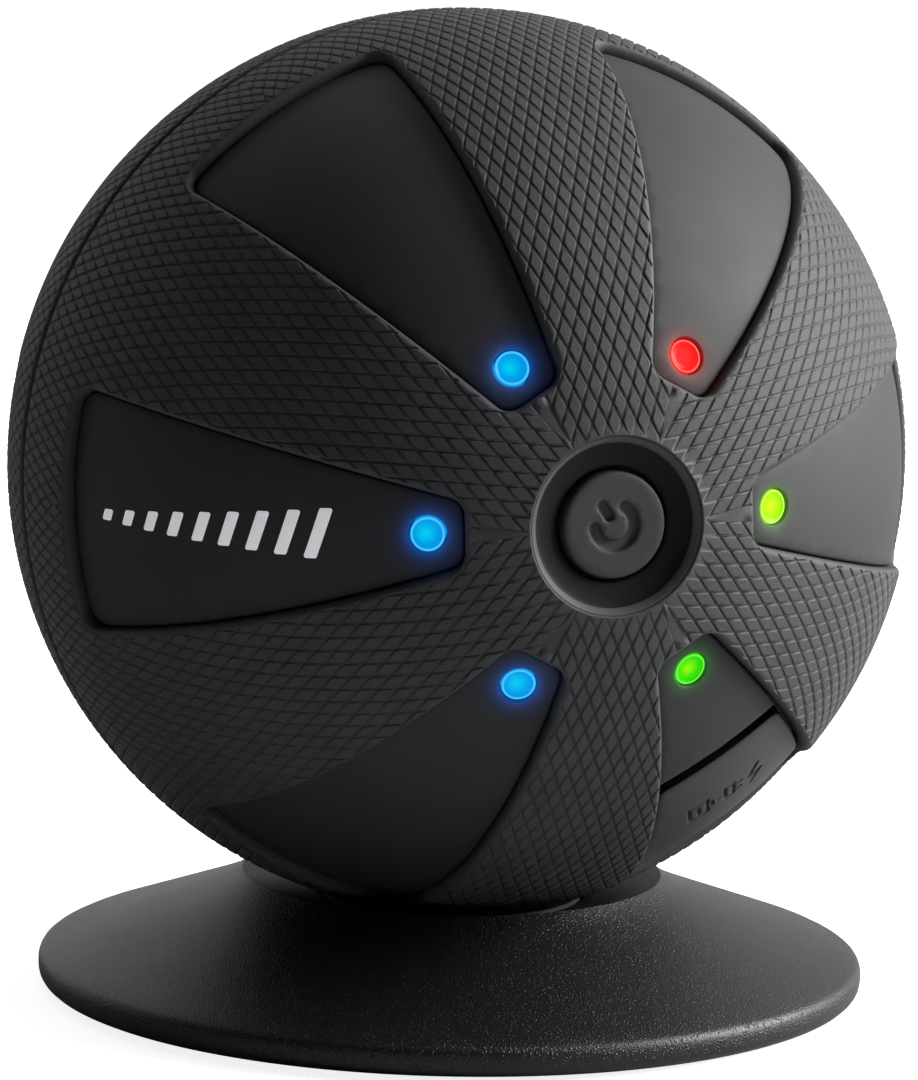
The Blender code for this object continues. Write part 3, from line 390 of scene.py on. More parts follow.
def plate(outline, angle, top, bottom, edge, holes=(), hole_edge=0.15, step=1.5, mirror=False,
          relief=None, guides=(), cuts=(), extra=()):
    """A closed thin plate with rounded upper edges.

    It lies on the ball about the panel at the angle, between radii bottom and top, with its
    outline in the polar map. With the angle None it is flat, in mm, between two heights.
    holes are (u, v, radius in mm); relief(uv) adds to the height; guides are closed loops and
    extra are points that the mesh follows; cuts are closed loops left open; mirror puts the
    plate on the rear half.
    """
    scale = 1.0 if angle is None else MM_PER_DEG * top / BALL_R
    hole_sides = 36
    outline = densify(outline, 0.9)
    loops = [outline] + [offset_closed(outline, f * edge / scale) for f in (0.12, 0.4, 1.0)]
    for hole_u, hole_v, radius in holes:
        for f in (0.0, 0.15, 0.5, 1.0):
            loops.append(circle((radius + f * hole_edge) / scale, hole_sides, (hole_u, hole_v)))
    points, edges = [], []
    for loop in [*loops, *guides, *cuts]:
        base, count = len(points), len(loop)
        points.extend(tuple(q) for q in loop)
        edges.extend((base + i, base + (i + 1) % count) for i in range(count))
    points.extend(extra)
    poly = np.array(outline)
    grid = hexgrid(poly.min(0), poly.max(0), step)
    keep = inside(offset_closed(outline, (edge + 0.25) / scale), grid)
    for hole_u, hole_v, radius in holes:
        keep &= (np.hypot(grid[:, 0] - hole_u, grid[:, 1] - hole_v)
                 > (radius + hole_edge + 0.3) / scale)
    points.extend(tuple(q) for q in grid[keep])

    uv, tris = triangulate(points, edges)
    middle = uv[tris].mean(1)
    keep = inside(poly, middle)
    for hole_u, hole_v, radius in holes:
        keep &= (np.hypot(middle[:, 0] - hole_u, middle[:, 1] - hole_v)
                 > radius / scale * math.cos(math.pi / hole_sides))
    for loop in cuts:
        keep &= ~inside(loop, middle)
    uv, tris = trimmed(uv, tris, keep, 1e-9)

    height = rounded_edge(line_distance(uv, poly) * scale, edge)
    for hole_u, hole_v, radius in holes:
        gap = np.maximum(np.hypot(uv[:, 0] - hole_u, uv[:, 1] - hole_v) * scale - radius, 0)
        height = np.minimum(height, rounded_edge(gap, hole_edge))
    if relief is not None:
        height = height + relief(uv)
    count = len(uv)
    if angle is None:
        upper = np.column_stack([uv, top + height])
        lower = np.column_stack([uv, np.full(count, bottom)])
    else:
        dirs = direction(uv, angle)
        upper = dirs * (top + height)[:, None]
        lower = dirs * bottom
    verts = np.concatenate([upper, lower])
    a, b = boundary_edges(tris).T
    tris = np.concatenate([tris, tris[:, ::-1] + count,
                           np.column_stack([b, a, a + count]),
                           np.column_stack([b, a + count, b + count])])
    if mirror:
        verts[:, 2] *= -1
        tris = tris[:, ::-1]
    return verts, tris


def spin(profile, segments):
    """A closed (radius, height) profile spun about Z."""
    verts, rings = [], []
    for radius, z in profile:
        if radius < 1e-6:
            rings.append([len(verts)] * segments)
            verts.append((0.0, 0.0, z))
        else:
            rings.append(list(range(len(verts), len(verts) + segments)))
            for k in range(segments):
                t = 2 * math.pi * k / segments
                verts.append((radius * math.cos(t), radius * math.sin(t), z))
    tris = []
    for i, ring in enumerate(rings):
        following = rings[(i + 1) % len(rings)]
        if ring[0] == ring[-1] and following[0] == following[-1]:
            continue
        for k in range(segments):
            m = (k + 1) % segments
            a, b, c, d = ring[k], ring[m], following[m], following[k]
            if a != b:
                tris.append((a, b, c))
            if c != d:
                tris.append((a, c, d))
    return outward(np.array(verts), np.array(tris))


def barrel(radius, half, bore, segments=28, edge=0.15, bore_edge=0.1):
    """Hollow cylinder along Y with broken edges."""
    profile = [(radius, -half + edge), (radius, half - edge), (radius - edge, half),
               (bore + bore_edge, half), (bore, half - bore_edge), (bore, -half + bore_edge),
               (bore + bore_edge, -half), (radius - edge, -half)]
    verts, tris = spin(profile, segments)
    return outward(verts[:, [0, 2, 1]], tris)


def bevelled_box(size, bevel):
    bm = bmesh.new()
    bmesh.ops.create_cube(bm, size=1.0)
    bmesh.ops.scale(bm, vec=size, verts=bm.verts)
    bmesh.ops.bevel(bm, geom=list(bm.edges), offset=bevel, segments=3, profile=0.5,
                    affect='EDGES')
    bmesh.ops.triangulate(bm, faces=list(bm.faces))
    bm.verts.ensure_lookup_table()
    verts = np.array([tuple(v.co) for v in bm.verts])
    tris = np.array([[v.index for v in f.verts] for f in bm.faces])
    bm.free()
    return verts, tris


def placed(solid, matrix):
    verts, tris = solid
    matrix = np.array(matrix)
    return verts @ matrix[:3, :3].T + matrix[:3, 3], tris


def merge(solids):
    all_verts, all_tris, base = [], [], 0
    for verts, tris in solids:
        all_verts.append(verts)
        all_tris.append(tris + base)
        base += len(verts)
    return np.concatenate(all_verts), np.concatenate(all_tris)


# ---------------------------------------------------------------------- objects

def make_object(name, verts, tris, sharp_angle=None, normals=None):
    """Smooth mesh object; verts in metres, edges sharper than sharp_angle (degrees) kept."""
    mesh = bpy.data.meshes.new(name)
    verts = np.asarray(verts, np.float32)
    tris = np.asarray(tris, np.int32)
    mesh.vertices.add(len(verts))
    mesh.vertices.foreach_set("co", verts.ravel())
    mesh.loops.add(tris.size)
    mesh.loops.foreach_set("vertex_index", tris.ravel())
    mesh.polygons.add(len(tris))
    mesh.polygons.foreach_set("loop_start", np.arange(0, tris.size, 3, dtype=np.int32))
    mesh.update(calc_edges=True)
    mesh.validate()
    mesh.shade_smooth()
    if normals is not None:
        mesh.normals_split_custom_set_from_vertices([tuple(n) for n in normals])
    obj = bpy.data.objects.new(name, mesh)
    bpy.context.scene.collection.objects.link(obj)
    if sharp_angle is not None:
        mesh.set_sharp_from_angle(angle=math.radians(sharp_angle))
    return obj


def ball_object(name, solid, sharp_angle):
    """Object from a solid in the ball frame."""
    return make_object(name, to_row(solid[0]), solid[1], sharp_angle)


def upright_object(name, solid, sharp_angle):
    """Object from a solid in mm in the row's axes."""
    return make_object(name, solid[0] * MM, solid[1], sharp_angle)


def set_material(obj, material):
    obj.data.materials.clear()
    obj.data.materials.append(material)


def register(obj, material, rides, replaces=None):
    set_material(obj, material)
    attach(obj, rides)
    if replaces:
        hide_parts(replaces)


# ----------------------------------------------------------------- shader nodes

class Nodes:
    """An emptied node tree. Inputs are given as {socket: value or output to link}."""

    def __init__(self, owner):
        owner.use_nodes = True
        self.tree = owner.node_tree
        self.tree.nodes.clear()

    def feed(self, node, inputs):
        for key, value in inputs.items():
            if isinstance(value, bpy.types.NodeSocket):
                self.tree.links.new(value, node.inputs[key])
            else:
                node.inputs[key].default_value = value

    def add(self, kind, inputs=None, **settings):
        node = self.tree.nodes.new("ShaderNode" + kind)
        for key, value in settings.items():
            setattr(node, key, value)
        self.feed(node, inputs or {})
        return node

    def object_coords(self):
        return self.add("TexCoord").outputs["Object"]

    def coords(self, scale=(1.0, 1.0, 1.0)):
        """Object coordinates, scaled."""
        return self.add("Mapping", {"Vector": self.object_coords(),
                                    "Scale": scale}).outputs["Vector"]

    def noise(self, vector, scale, detail=3.0, rough=0.55):
        return self.add("TexNoise", {"Vector": vector, "Scale": scale, "Detail": detail,
                                     "Roughness": rough}).outputs["Fac"]

    def ramp(self, factor, stops):
        """Colour ramp through (position, colour) stops."""
        node = self.add("ValToRGB", {"Fac": factor})
        elements = node.color_ramp.elements
        while len(elements) < len(stops):
            elements.new(0.5)
        for element, (position, colour) in zip(elements, stops):
            element.position = position
            element.color = (*colour, 1.0)
        return node.outputs["Color"]

    def math(self, operation, first, second=None, clamp=False):
        inputs = {0: first} if second is None else {0: first, 1: second}
        return self.add("Math", inputs, operation=operation, use_clamp=clamp).outputs[0]

    def length(self, x, y):
        return self.math("SQRT", self.math("ADD", self.math("MULTIPLY", x, x),
                                           self.math("MULTIPLY", y, y)))

    def blend(self, first, first_share, second, second_share):
        """Weighted sum."""
        return self.math("ADD", self.math("MULTIPLY", first, first_share),
                         self.math("MULTIPLY", second, second_share))

    def vary(self, base, factor, amount):
        """base + factor * amount"""
        return self.math("ADD", base, self.math("MULTIPLY", factor, amount))

    def bump(self, height, strength, distance):
        return self.add("Bump", {"Strength": strength, "Distance": distance,
                                 "Height": height}).outputs["Normal"]

    def mix_colour(self, factor, first, second):
        return self.add("Mix", {"Factor": factor, 6: first, 7: second},
                        data_type="RGBA").outputs[2]


class Surface(Nodes):
    """A material with one principled shader."""

    def __init__(self, name):
        self.material = bpy.data.materials.new(name)
        super().__init__(self.material)
        output = self.add("OutputMaterial")
        self.bsdf = self.add("BsdfPrincipled")
        self.feed(output, {0: self.bsdf.outputs[0]})

    def shade(self, inputs):
        self.feed(self.bsdf, inputs)


# -------------------------------------------------------------------- materials

def grey(value):
    return (value, value, value * 1.01)


def rubber_material(name, dark, light, rough, spec, grain=8000.0, grain_depth=0.00002,
                    glow=None):
    """Black silicone or plastic: fine grain, soft mottling, slightly uneven sheen."""
    surface = Surface(name)
    vector = surface.coords()
    fine = surface.noise(vector, grain, detail=4.0, rough=0.65)
    medium = surface.noise(vector, grain * 0.28, detail=3.0, rough=0.6)
    soft = surface.noise(vector, 220.0, detail=3.0, rough=0.5)
    both = surface.blend(fine, 0.6, medium, 0.4)
    mixed = surface.blend(both, 0.55, soft, 0.45)
    surface.shade({
        "Base Color": surface.ramp(mixed, [(0.36, grey(dark)), (0.64, grey(light))]),
        "Roughness": surface.vary(rough - 0.06, soft, 0.12),
        "Specular IOR Level": spec,
        "Normal": surface.bump(both, strength=0.8, distance=grain_depth),
    })
    if glow:
        add_glow(surface, glow)
    return surface.material


def falloff(surface, distance, inner, rate):
    """Exponential fading, in mm, from 1 at the inner radius."""
    beyond = surface.math("MAXIMUM", surface.math("SUBTRACT", distance, inner), 0.0)
    return surface.math("POWER", 2.718, surface.math("MULTIPLY", beyond, rate))


def add_glow(surface, lights):
    """Light spilt by the lenses; lights are (place, colour, inner radius in mm, gain)."""
    coords = surface.object_coords()
    total = None
    for place, colour, inner, gain in lights:
        away = surface.add("VectorMath", {0: coords, 1: place}, operation="DISTANCE")
        distance = surface.math("MULTIPLY", away.outputs["Value"], 1000.0)
        ring = falloff(surface, distance, inner, rate=-2.3)
        haze = falloff(surface, distance, inner, rate=-0.8)
        amount = surface.blend(ring, 0.34 * gain, haze, 0.018 * gain)
        spill = surface.add("VectorMath", {0: colour, "Scale": amount},
                            operation="SCALE").outputs[0]
        if total is None:
            total = spill
        else:
            total = surface.add("VectorMath", {0: total, 1: spill}, operation="ADD").outputs[0]
    surface.shade({"Emission Color": total, "Emission Strength": 1.0})


def metal_material(name, color, rough=0.32, stretch=(1, 1, 12)):
    """Metal with streaks, finest along the axis with the largest stretch."""
    surface = Surface(name)
    vector = surface.coords([400.0 * s for s in stretch])
    streak = surface.noise(vector, 3.0, detail=4.0, rough=0.6)
    dark = tuple(c * 0.8 for c in color)
    surface.shade({
        "Base Color": surface.ramp(streak, [(0.3, dark), (0.7, color)]),
        "Metallic": 1.0,
        "Roughness": surface.vary(rough - 0.08, streak, 0.16),
        "Normal": surface.bump(streak, strength=0.3, distance=0.00002),
    })
    return surface.material


def plastic_material(name, color, rough=0.4, coat=0.0):
    surface = Surface(name)
    vector = surface.coords()
    fine = surface.noise(vector, 5200.0, detail=3.0, rough=0.6)
    soft = surface.noise(vector, 260.0, detail=2.0, rough=0.5)
    dark = tuple(c * 0.82 for c in color)
    light = tuple(min(1.0, c * 1.12) for c in color)
    surface.shade({
        "Base Color": surface.ramp(soft, [(0.3, dark), (0.7, light)]),
        "Roughness": surface.vary(rough - 0.05, soft, 0.1),
        "Coat Weight": coat,
        "Normal": surface.bump(fine, strength=0.4, distance=0.00002),
    })
    return surface.material


def board_material(name):
    """Green solder mask with faint copper tracks."""
    surface = Surface(name)
    brick = surface.add("TexBrick", {
        "Vector": surface.coords(), "Scale": 380.0, "Mortar Size": 0.03,
        "Color1": (0.010, 0.075, 0.03, 1), "Color2": (0.014, 0.095, 0.04, 1),
        "Mortar": (0.05, 0.19, 0.08, 1)})
    surface.shade({
        "Base Color": brick.outputs["Color"],
        "Roughness": 0.35,
        "Normal": surface.bump(brick.outputs["Fac"], strength=0.4, distance=0.00003),
    })
    return surface.material


def glowing_ink_material():
    """Pale print with a faint painted glow, so that it stays bright on the shaded side."""
    surface = Surface("pale_ink_painted_glow")
    vector = surface.coords()
    surface.shade({
        "Base Color": surface.ramp(surface.noise(vector, 2600.0),
                                   [(0.3, (0.74, 0.75, 0.77)), (0.7, (0.84, 0.85, 0.86))]),
        # painted glow: the print gives off a little light of its own though it is no lamp
        "Emission Color": (0.93, 0.96, 1.0, 1),
        "Emission Strength": 0.30,
        "Roughness": 0.55,
        "Normal": surface.bump(surface.noise(vector, 9000.0), strength=0.5, distance=0.00001),
    })
    return surface.material


def lens_material(name, face, rim, spot):
    """Lit lens: saturated face, paler rim ring and a cloudy hot spot beside the middle."""
    ring_radius, ring_sharpness = 1.36, 8.0
    spot_x, spot_y, spot_fade = 0.12, -0.12, 0.95
    surface = Surface(name)
    calc = surface.math
    axes = surface.add("SeparateXYZ", {0: surface.object_coords()})
    x = calc("MULTIPLY", axes.outputs[0], 1000.0)
    y = calc("MULTIPLY", axes.outputs[1], 1000.0)
    off_ring = calc("ABSOLUTE", calc("SUBTRACT", surface.length(x, y), ring_radius))
    ring = calc("SUBTRACT", 1.0, calc("MULTIPLY", off_ring, ring_sharpness), clamp=True)
    off_spot = surface.length(calc("SUBTRACT", x, spot_x), calc("SUBTRACT", y, spot_y))
    hot = calc("SUBTRACT", 1.0, calc("MULTIPLY", off_spot, spot_fade), clamp=True)
    cloud = surface.noise(surface.coords(), 1300.0)
    hot = calc("MULTIPLY", hot, surface.vary(0.55, cloud, 0.9))
    lit = surface.mix_colour(hot, (*face, 1), (*spot, 1))
    surface.shade({
        "Emission Color": surface.mix_colour(calc("MULTIPLY", ring, 0.85), lit, (*rim, 1)),
        "Emission Strength": 1.0,
        "Base Color": (*(c * 0.25 for c in face), 1),
        "Roughness": 0.22,
        "Specular IOR Level": 0.06,
    })
    return surface.material


def stand_material():
    """Satin black moulding: a fine sand of pale specks and a soft unevenness."""
    surface = Surface("stand_satin")
    vector = surface.coords()
    speck = surface.add("TexVoronoi", {"Vector": vector, "Scale": 3400.0, "Randomness": 1.0})
    fine = surface.noise(vector, 5200.0, detail=3.0, rough=0.7)
    soft = surface.noise(vector, 90.0, detail=3.0, rough=0.5)
    dots = surface.math("SUBTRACT", 1.0,
                        surface.math("MULTIPLY", speck.outputs["Distance"], 2.6), clamp=True)
    grain = surface.blend(dots, 0.5, fine, 0.5)
    mixed = surface.blend(grain, 0.7, soft, 0.3)
    surface.shade({
        "Base Color": surface.ramp(
            mixed, [(0.30, grey(0.004)), (0.58, grey(0.008)), (0.78, grey(0.034))]),
        "Roughness": surface.math("ADD", 0.30, surface.blend(soft, 0.10, fine, 0.08)),
        "Specular IOR Level": 0.42,
        "Normal": surface.bump(grain, strength=1.0, distance=0.00011),
    })
    return surface.material


def lamp_glow(extra_radius=0.0, share=1.0):
    """One light for each lamp, as add_glow takes them."""
    lights = []
    for angle, colour in zip(PANEL_ANGLES, LAMP_COLOURS):
        look = LAMP_LOOKS[colour]
        place = to_row(direction([(LAMP_POLAR, 0.0)], angle) * PANEL_R)[0]
        lights.append((tuple(float(q) for q in place), look["spill"],
                       1.55 + extra_radius, look["gain"] * share))
    return lights


grip_mat = rubber_material("grip_silicone", dark=0.030, light=0.050, rough=0.66, spec=0.42,
                           grain=7000.0, grain_depth=0.00010,
                           glow=lamp_glow(extra_radius=0.6, share=0.45))
SATIN = dict(dark=0.017, light=0.024, rough=0.68, spec=0.40, grain=9000.0,
             grain_depth=0.000014)
panel_mat = rubber_material("panel_satin", glow=lamp_glow(), **SATIN)
rear_panel_mat = rubber_material("rear_panel_satin", **SATIN)
soft_mat = rubber_material("smooth_silicone", dark=0.026, light=0.036, rough=0.62, spec=0.42)
bowl_mat = rubber_material("bowl_satin", dark=0.004, light=0.006, rough=0.58, spec=0.16,
                           grain_depth=0.00001)
# The rim is a far lighter grey than the bowl inside it: painted sheen for the lit crescent on its
# slope.
rim_sheen_mat = rubber_material("rim_silicone_painted_sheen", dark=0.058, light=0.074, rough=0.62, spec=0.30)
shell_mat = rubber_material("shell_plastic", dark=0.008, light=0.012, rough=0.62, spec=0.30)
# Near black, rough and dull, darker than the shell plastic: painted shade for the finger slot
# under the flap, the flap's slot side and the seam.
painted_shade_mat = rubber_material("recess_painted_shade", dark=0.002, light=0.003, rough=0.85, spec=0.08)


# ---------------------------------------------------------- the silicone grips
# A grip is twelve copies of a half sector, from a rib's axis at 0 degrees to the middle of
# the next panel at HALF_SECTOR. It is meshed in the lattice plane: degrees, x across from
# the rib's axis and y away from the pole.

DEG_PER_MM = 1.0 / MM_PER_DEG
WINDOW = densify(window_outline(), 0.55)
WINDOW_ON_BALL = direction(WINDOW, HALF_SECTOR) * BALL_R
WINDOW_ROWS = (0.05, 0.16, 0.34, 0.60)      # mesh rows along the edges, mm from the edge
SEAM_ROWS = (0.05, 0.18, 0.40)
HOLE_ROWS = (0.03, 0.10, 0.22)
REAR_RING_ROWS = (-0.55, -0.40, -0.25, -0.10, 0.05, 0.40)
REAR_CAP_POLARS = (7.5, 5.0, 2.5)


def lattice_to_dir(xy):
    x, y = np.radians(xy[:, 0]), np.radians(xy[:, 1])
    return np.stack([np.cos(x) * np.sin(y), np.sin(x), np.cos(x) * np.cos(y)], 1)


def dir_to_lattice(dirs):
    return np.stack([np.degrees(np.arcsin(np.clip(dirs[:, 1], -1, 1))),
                     np.degrees(np.arctan2(dirs[:, 0], dirs[:, 2]))], 1)


def polar_arc(polar, count):
    """Lattice-plane points along a circle of latitude."""
    around = np.radians(np.linspace(0, HALF_SECTOR, count))
    xy = dir_to_lattice(on_sphere(math.radians(polar), around))
    xy[0, 0] = 0.0
    return xy


def meridian(around, polars):
    """Lattice-plane points along a meridian."""
    xy = dir_to_lattice(on_sphere(np.radians(polars), math.radians(around)))
    if around == 0:
        xy[:, 0] = 0.0
    return xy


def folded(dirs):
    """Polar and azimuth angles in degrees, folded into the half sector."""
    spacing = 2 * HALF_SECTOR
    around = np.abs(((around_of(dirs) + HALF_SECTOR) % spacing) - HALF_SECTOR)
    return polar_of(dirs), around


def panel_plane_gap(polar, around):
    """Distance in mm from the plane through the panel's middle."""
    return (HALF_SECTOR - around) * np.sin(np.radians(polar)) * MM_PER_DEG


def window_distance(dirs):
    """Distance in mm from the window's edge, positive on the grip."""
    polar, around = folded(dirs)
    off_middle = np.radians(around - HALF_SECTOR)
    uv = np.stack([polar * np.cos(off_middle), polar * np.sin(off_middle)], 1)
    fold = on_sphere(np.radians(polar), np.radians(around))
    distance = line_distance(fold * BALL_R, WINDOW_ON_BALL)
    return np.where(inside(WINDOW, uv), -distance, distance)


def edge_distances(dirs):
    """Distances in mm from the window, the button hole and the seam, positive on the grip."""
    polar = polar_of(dirs)
    return (window_distance(dirs), (polar - HOLE_POLAR) * MM_PER_DEG,
            (SEAM_POLAR - polar) * MM_PER_DEG)


def groove_distances(dirs):
    """Distances in mm to the nearest groove of each family."""
    polar, around = folded(dirs)
    xy = dir_to_lattice(on_sphere(np.radians(polar), np.radians(around)))
    a = CELLS_Y * xy[:, 1] + CELLS_X * xy[:, 0] - PHASE
    b = CELLS_Y * xy[:, 1] - CELLS_X * xy[:, 0] - PHASE
    cell = MM_PER_DEG / CELLS_PER_DEG
    return np.abs(a - np.round(a)) * cell, np.abs(b - np.round(b)) * cell


def grip_height(dirs, rear):
    """Height in mm over the ball: grooves that fade near the edges, and rounded edges."""
    groove_a, groove_b = groove_distances(dirs)
    window, hole, seam = edge_distances(dirs)
    land = np.minimum(smoothstep(groove_a / GROOVE_HALF), smoothstep(groove_b / GROOVE_HALF))
    fade = smoothstep((window - 0.22) / 0.24) * smoothstep((seam - 0.12) / 0.25)
    fade = fade * smoothstep((hole - 0.18) / 0.20)
    polar, around = folded(dirs)
    side = panel_plane_gap(polar, around)
    fade = fade * np.where(polar < WINDOW_IN, smoothstep((side - 0.06) / 0.34), 1.0)
    height = -GROOVE_DEPTH * (1 - land) * fade
    height = height + rounded_edge(window, 0.58) + rounded_edge(seam, 0.40)
    if rear:        # a shallow ring round the closed pole
        return height - 0.16 * (1 - smoothstep(np.abs(hole + 0.25) / 0.3))
    return height + rounded_edge(hole, 0.22)


def grip_normals(dirs, rear):
    """Normals from the height's slope; zero, for automatic, close to the edges."""
    eps = 0.02 / BALL_R
    helper = np.where(np.abs(dirs[:, 2:3]) < 0.9, np.array([[0.0, 0.0, 1.0]]),
                      np.array([[1.0, 0.0, 0.0]]))
    first = np.cross(helper, dirs)
    first /= np.linalg.norm(first, axis=1, keepdims=True)
    second = np.cross(dirs, first)

    def height_at(vectors):
        return grip_height(vectors / np.linalg.norm(vectors, axis=1, keepdims=True), rear)
    normals = dirs
    for tangent in (first, second):
        rise = height_at(dirs + tangent * eps) - height_at(dirs - tangent * eps)
        normals = normals - tangent * (rise / (2 * eps * BALL_R))[:, None]
    normals /= np.linalg.norm(normals, axis=1, keepdims=True)
    window, hole, seam = edge_distances(dirs)
    near = (window < 0.16) | (seam < 0.14)
    if not rear:
        near |= hole < 0.14
    normals[near] = 0.0
    return normals


def window_edge():
    """The rib's side of the window's edge from its inner to its outer end: unit vectors, and
    the directions away from the window."""
    outline = np.array(WINDOW)
    low = outline[outline[:, 1] < -1e-6]
    uv = np.concatenate([[[outline[:, 0].min(), 0.0]], low, [[WINDOW_OUT, 0.0]]])
    edge = direction(uv, HALF_SECTOR)
    tangent = np.gradient(edge, axis=0)
    tangent /= np.linalg.norm(tangent, axis=1, keepdims=True)
    away = np.cross(tangent, edge)
    away /= np.linalg.norm(away, axis=1, keepdims=True)

    def from_pole(polar):
        polar, around = math.radians(polar), math.radians(HALF_SECTOR)
        return np.array([math.cos(polar) * math.cos(around), math.cos(polar) * math.sin(around),
                         -math.sin(polar)])
    away[0] = -from_pole(WINDOW_IN)
    away[-1] = from_pole(WINDOW_OUT)
    return edge, away


def draw_borders(sketch, rear):
    """Draws the half sector's borders and the rows beside them. Returns its first polar
    angle and its outline."""
    seam_rows = [SEAM_POLAR] + [SEAM_POLAR - row * DEG_PER_MM for row in SEAM_ROWS]
    for polar in seam_rows:
        sketch.line(polar_arc(polar, 73))
    if rear:
        first = 0.0
        ring = [HOLE_POLAR + row * DEG_PER_MM for row in REAR_RING_ROWS]
        arcs = [(polar, 15) for polar in ring]
        arcs += [(polar, max(3, int(polar * 1.2))) for polar in REAR_CAP_POLARS]
    else:
        first = HOLE_POLAR
        arcs = [(HOLE_POLAR, 15)]
        arcs += [(HOLE_POLAR + row * DEG_PER_MM, 15) for row in HOLE_ROWS]
    for polar, count in arcs:
        sketch.line(polar_arc(polar, count))
    edge, away = window_edge()
    sketch.line(dir_to_lattice(edge))
    for row in WINDOW_ROWS:
        moved = edge + away * (row / BALL_R)
        moved /= np.linalg.norm(moved, axis=1, keepdims=True)
        sketch.line(dir_to_lattice(moved))

    pole_rows = [first] + [polar for polar, _ in arcs]
    inner = {*pole_rows, WINDOW_IN, *(WINDOW_IN - row * DEG_PER_MM for row in WINDOW_ROWS),
             *np.arange(first + 0.7, WINDOW_IN - 1.2, 0.7)}
    outer = {*seam_rows, WINDOW_OUT, *(WINDOW_OUT + row * DEG_PER_MM for row in WINDOW_ROWS),
             *np.arange(WINDOW_OUT + 1.6, SEAM_POLAR - 1.0, 0.7)}
    rib = {*pole_rows, *seam_rows, *np.arange(first + 0.9, SEAM_POLAR - 1.0, 0.9)}
    inner_side = meridian(HALF_SECTOR, np.array(sorted(inner)))
    outer_side = meridian(HALF_SECTOR, np.array(sorted(outer)))
    rib_side = meridian(0.0, np.array(sorted(rib)))
    for side in (inner_side, outer_side, rib_side):
        sketch.line(side)
    hole_side = np.zeros((0, 2)) if rear else polar_arc(HOLE_POLAR, 15)[::-1]
    outline = np.concatenate([polar_arc(SEAM_POLAR, 73), outer_side[::-1],
                              dir_to_lattice(edge)[::-1], inner_side[::-1], hole_side, rib_side])
    return first, outline


def lattice_segments():
    """Every cell's groove lines and two nested diamonds, as an (n, 2, 2) array."""
    def diamond(i, j, inset=0):
        cells = ((i + inset, j + inset), (i + 1 - inset, j + inset),
                 (i + 1 - inset, j + 1 - inset), (i + inset, j + 1 - inset))
        return np.array([((a - b) / (2 * CELLS_X), (a + b + 2 * PHASE) / (2 * CELLS_Y))
                         for a, b in cells])
    segments = []
    for i in range(-1, 45):
        for j in range(-1, 45):
            if i < j - 1:
                continue
            corners = diamond(i, j)
            x, y = corners[:, 0], corners[:, 1]
            if x.max() < -0.01 or x.min() > 31 or y.min() > 92 or y.max() < 8:
                continue
            segments.append((corners[0], corners[1]))
            segments.append((corners[0], corners[3]))
            for row in (GROOVE_HALF * 0.5, GROOVE_HALF + 0.025):
                ring = diamond(i, j, row * CELLS_PER_DEG / MM_PER_DEG)
                for k in range(4):
                    segments.append((ring[k], ring[(k + 1) % 4]))
    return np.array(segments)


def pattern_room(xy):
    """How far inside the patterned area a point is, in mm."""
    dirs = lattice_to_dir(xy)
    window, hole, seam = edge_distances(dirs)
    room = np.minimum(np.minimum(window - 0.22, seam - 0.13), hole - 0.19)
    side = panel_plane_gap(polar_of(dirs), around_of(dirs)) + 0.02
    rib = xy[:, 0] * MM_PER_DEG + 0.02
    return np.minimum(np.minimum(room, side), rib)


def settle(point):
    """Puts a point that is almost on one of the half sector's two planes exactly on it."""
    if abs(point[0]) * MM_PER_DEG < 0.03:
        point = np.array([0.0, point[1]])
    x, y, z = lattice_to_dir(point[None])[0]
    polar = math.acos(z)
    around = math.degrees(math.atan2(y, x))
    if abs(HALF_SECTOR - around) * math.sin(polar) * MM_PER_DEG < 0.03:
        point = dir_to_lattice(on_sphere([polar], math.radians(HALF_SECTOR)))[0]
    return point


def draw_lattice(sketch):
    """Draws the lattice's segments, cut to the patterned area."""
    segments = lattice_segments()
    steps = 12
    f = np.linspace(0, 1, steps + 1)
    samples = (segments[:, None, 0, :] * (1 - f)[None, :, None]
               + segments[:, None, 1, :] * f[None, :, None])
    rooms = pattern_room(samples.reshape(-1, 2)).reshape(len(segments), steps + 1)
    for (start, end), room in zip(segments, rooms):
        good = room > 0
        if not good.any():
            continue
        if good.all():
            sketch.line([settle(start), settle(end)])
            continue
        shown = np.where(good)[0]
        low, high = shown[0], shown[-1]
        f_low, f_high = f[low], f[high]
        if low > 0:
            f_low = f[low] - room[low] / (room[low] - room[low - 1]) / steps
        if high < steps:
            f_high = f[high] + room[high] / (room[high] - room[high + 1]) / steps
        p0 = settle(start * (1 - f_low) + end * f_low)
        p1 = settle(start * (1 - f_high) + end * f_high)
        if np.linalg.norm(p1 - p0) > 0.02:
            sketch.line([p0, p1])


def snapped(xy):
    """Directions with border points exactly on the half sector's planes, and flags for
    points on the rib's plane, on the panel's plane and at the pole."""
    dirs = lattice_to_dir(xy)
    polar = polar_of(dirs)
    pole = polar < 1e-3
    on_rib = (np.abs(xy[:, 0]) < 5e-4) | pole
    close = np.abs(around_of(dirs) - HALF_SECTOR) * np.sin(np.radians(polar)) < 0.012
    off_window = (polar < WINDOW_IN + 1e-3) | (polar > WINDOW_OUT - 1e-3)
    on_panel = (close & off_window) | pole
    across = np.array([-math.sin(math.radians(HALF_SECTOR)),
                       math.cos(math.radians(HALF_SECTOR)), 0.0])
    dirs[on_rib, 1] = 0.0
    dirs[on_panel] -= np.outer(dirs[on_panel] @ across, across)
    dirs[pole] = (0, 0, 1)
    dirs /= np.linalg.norm(dirs, axis=1, keepdims=True)
    return dirs, on_rib, on_panel, pole


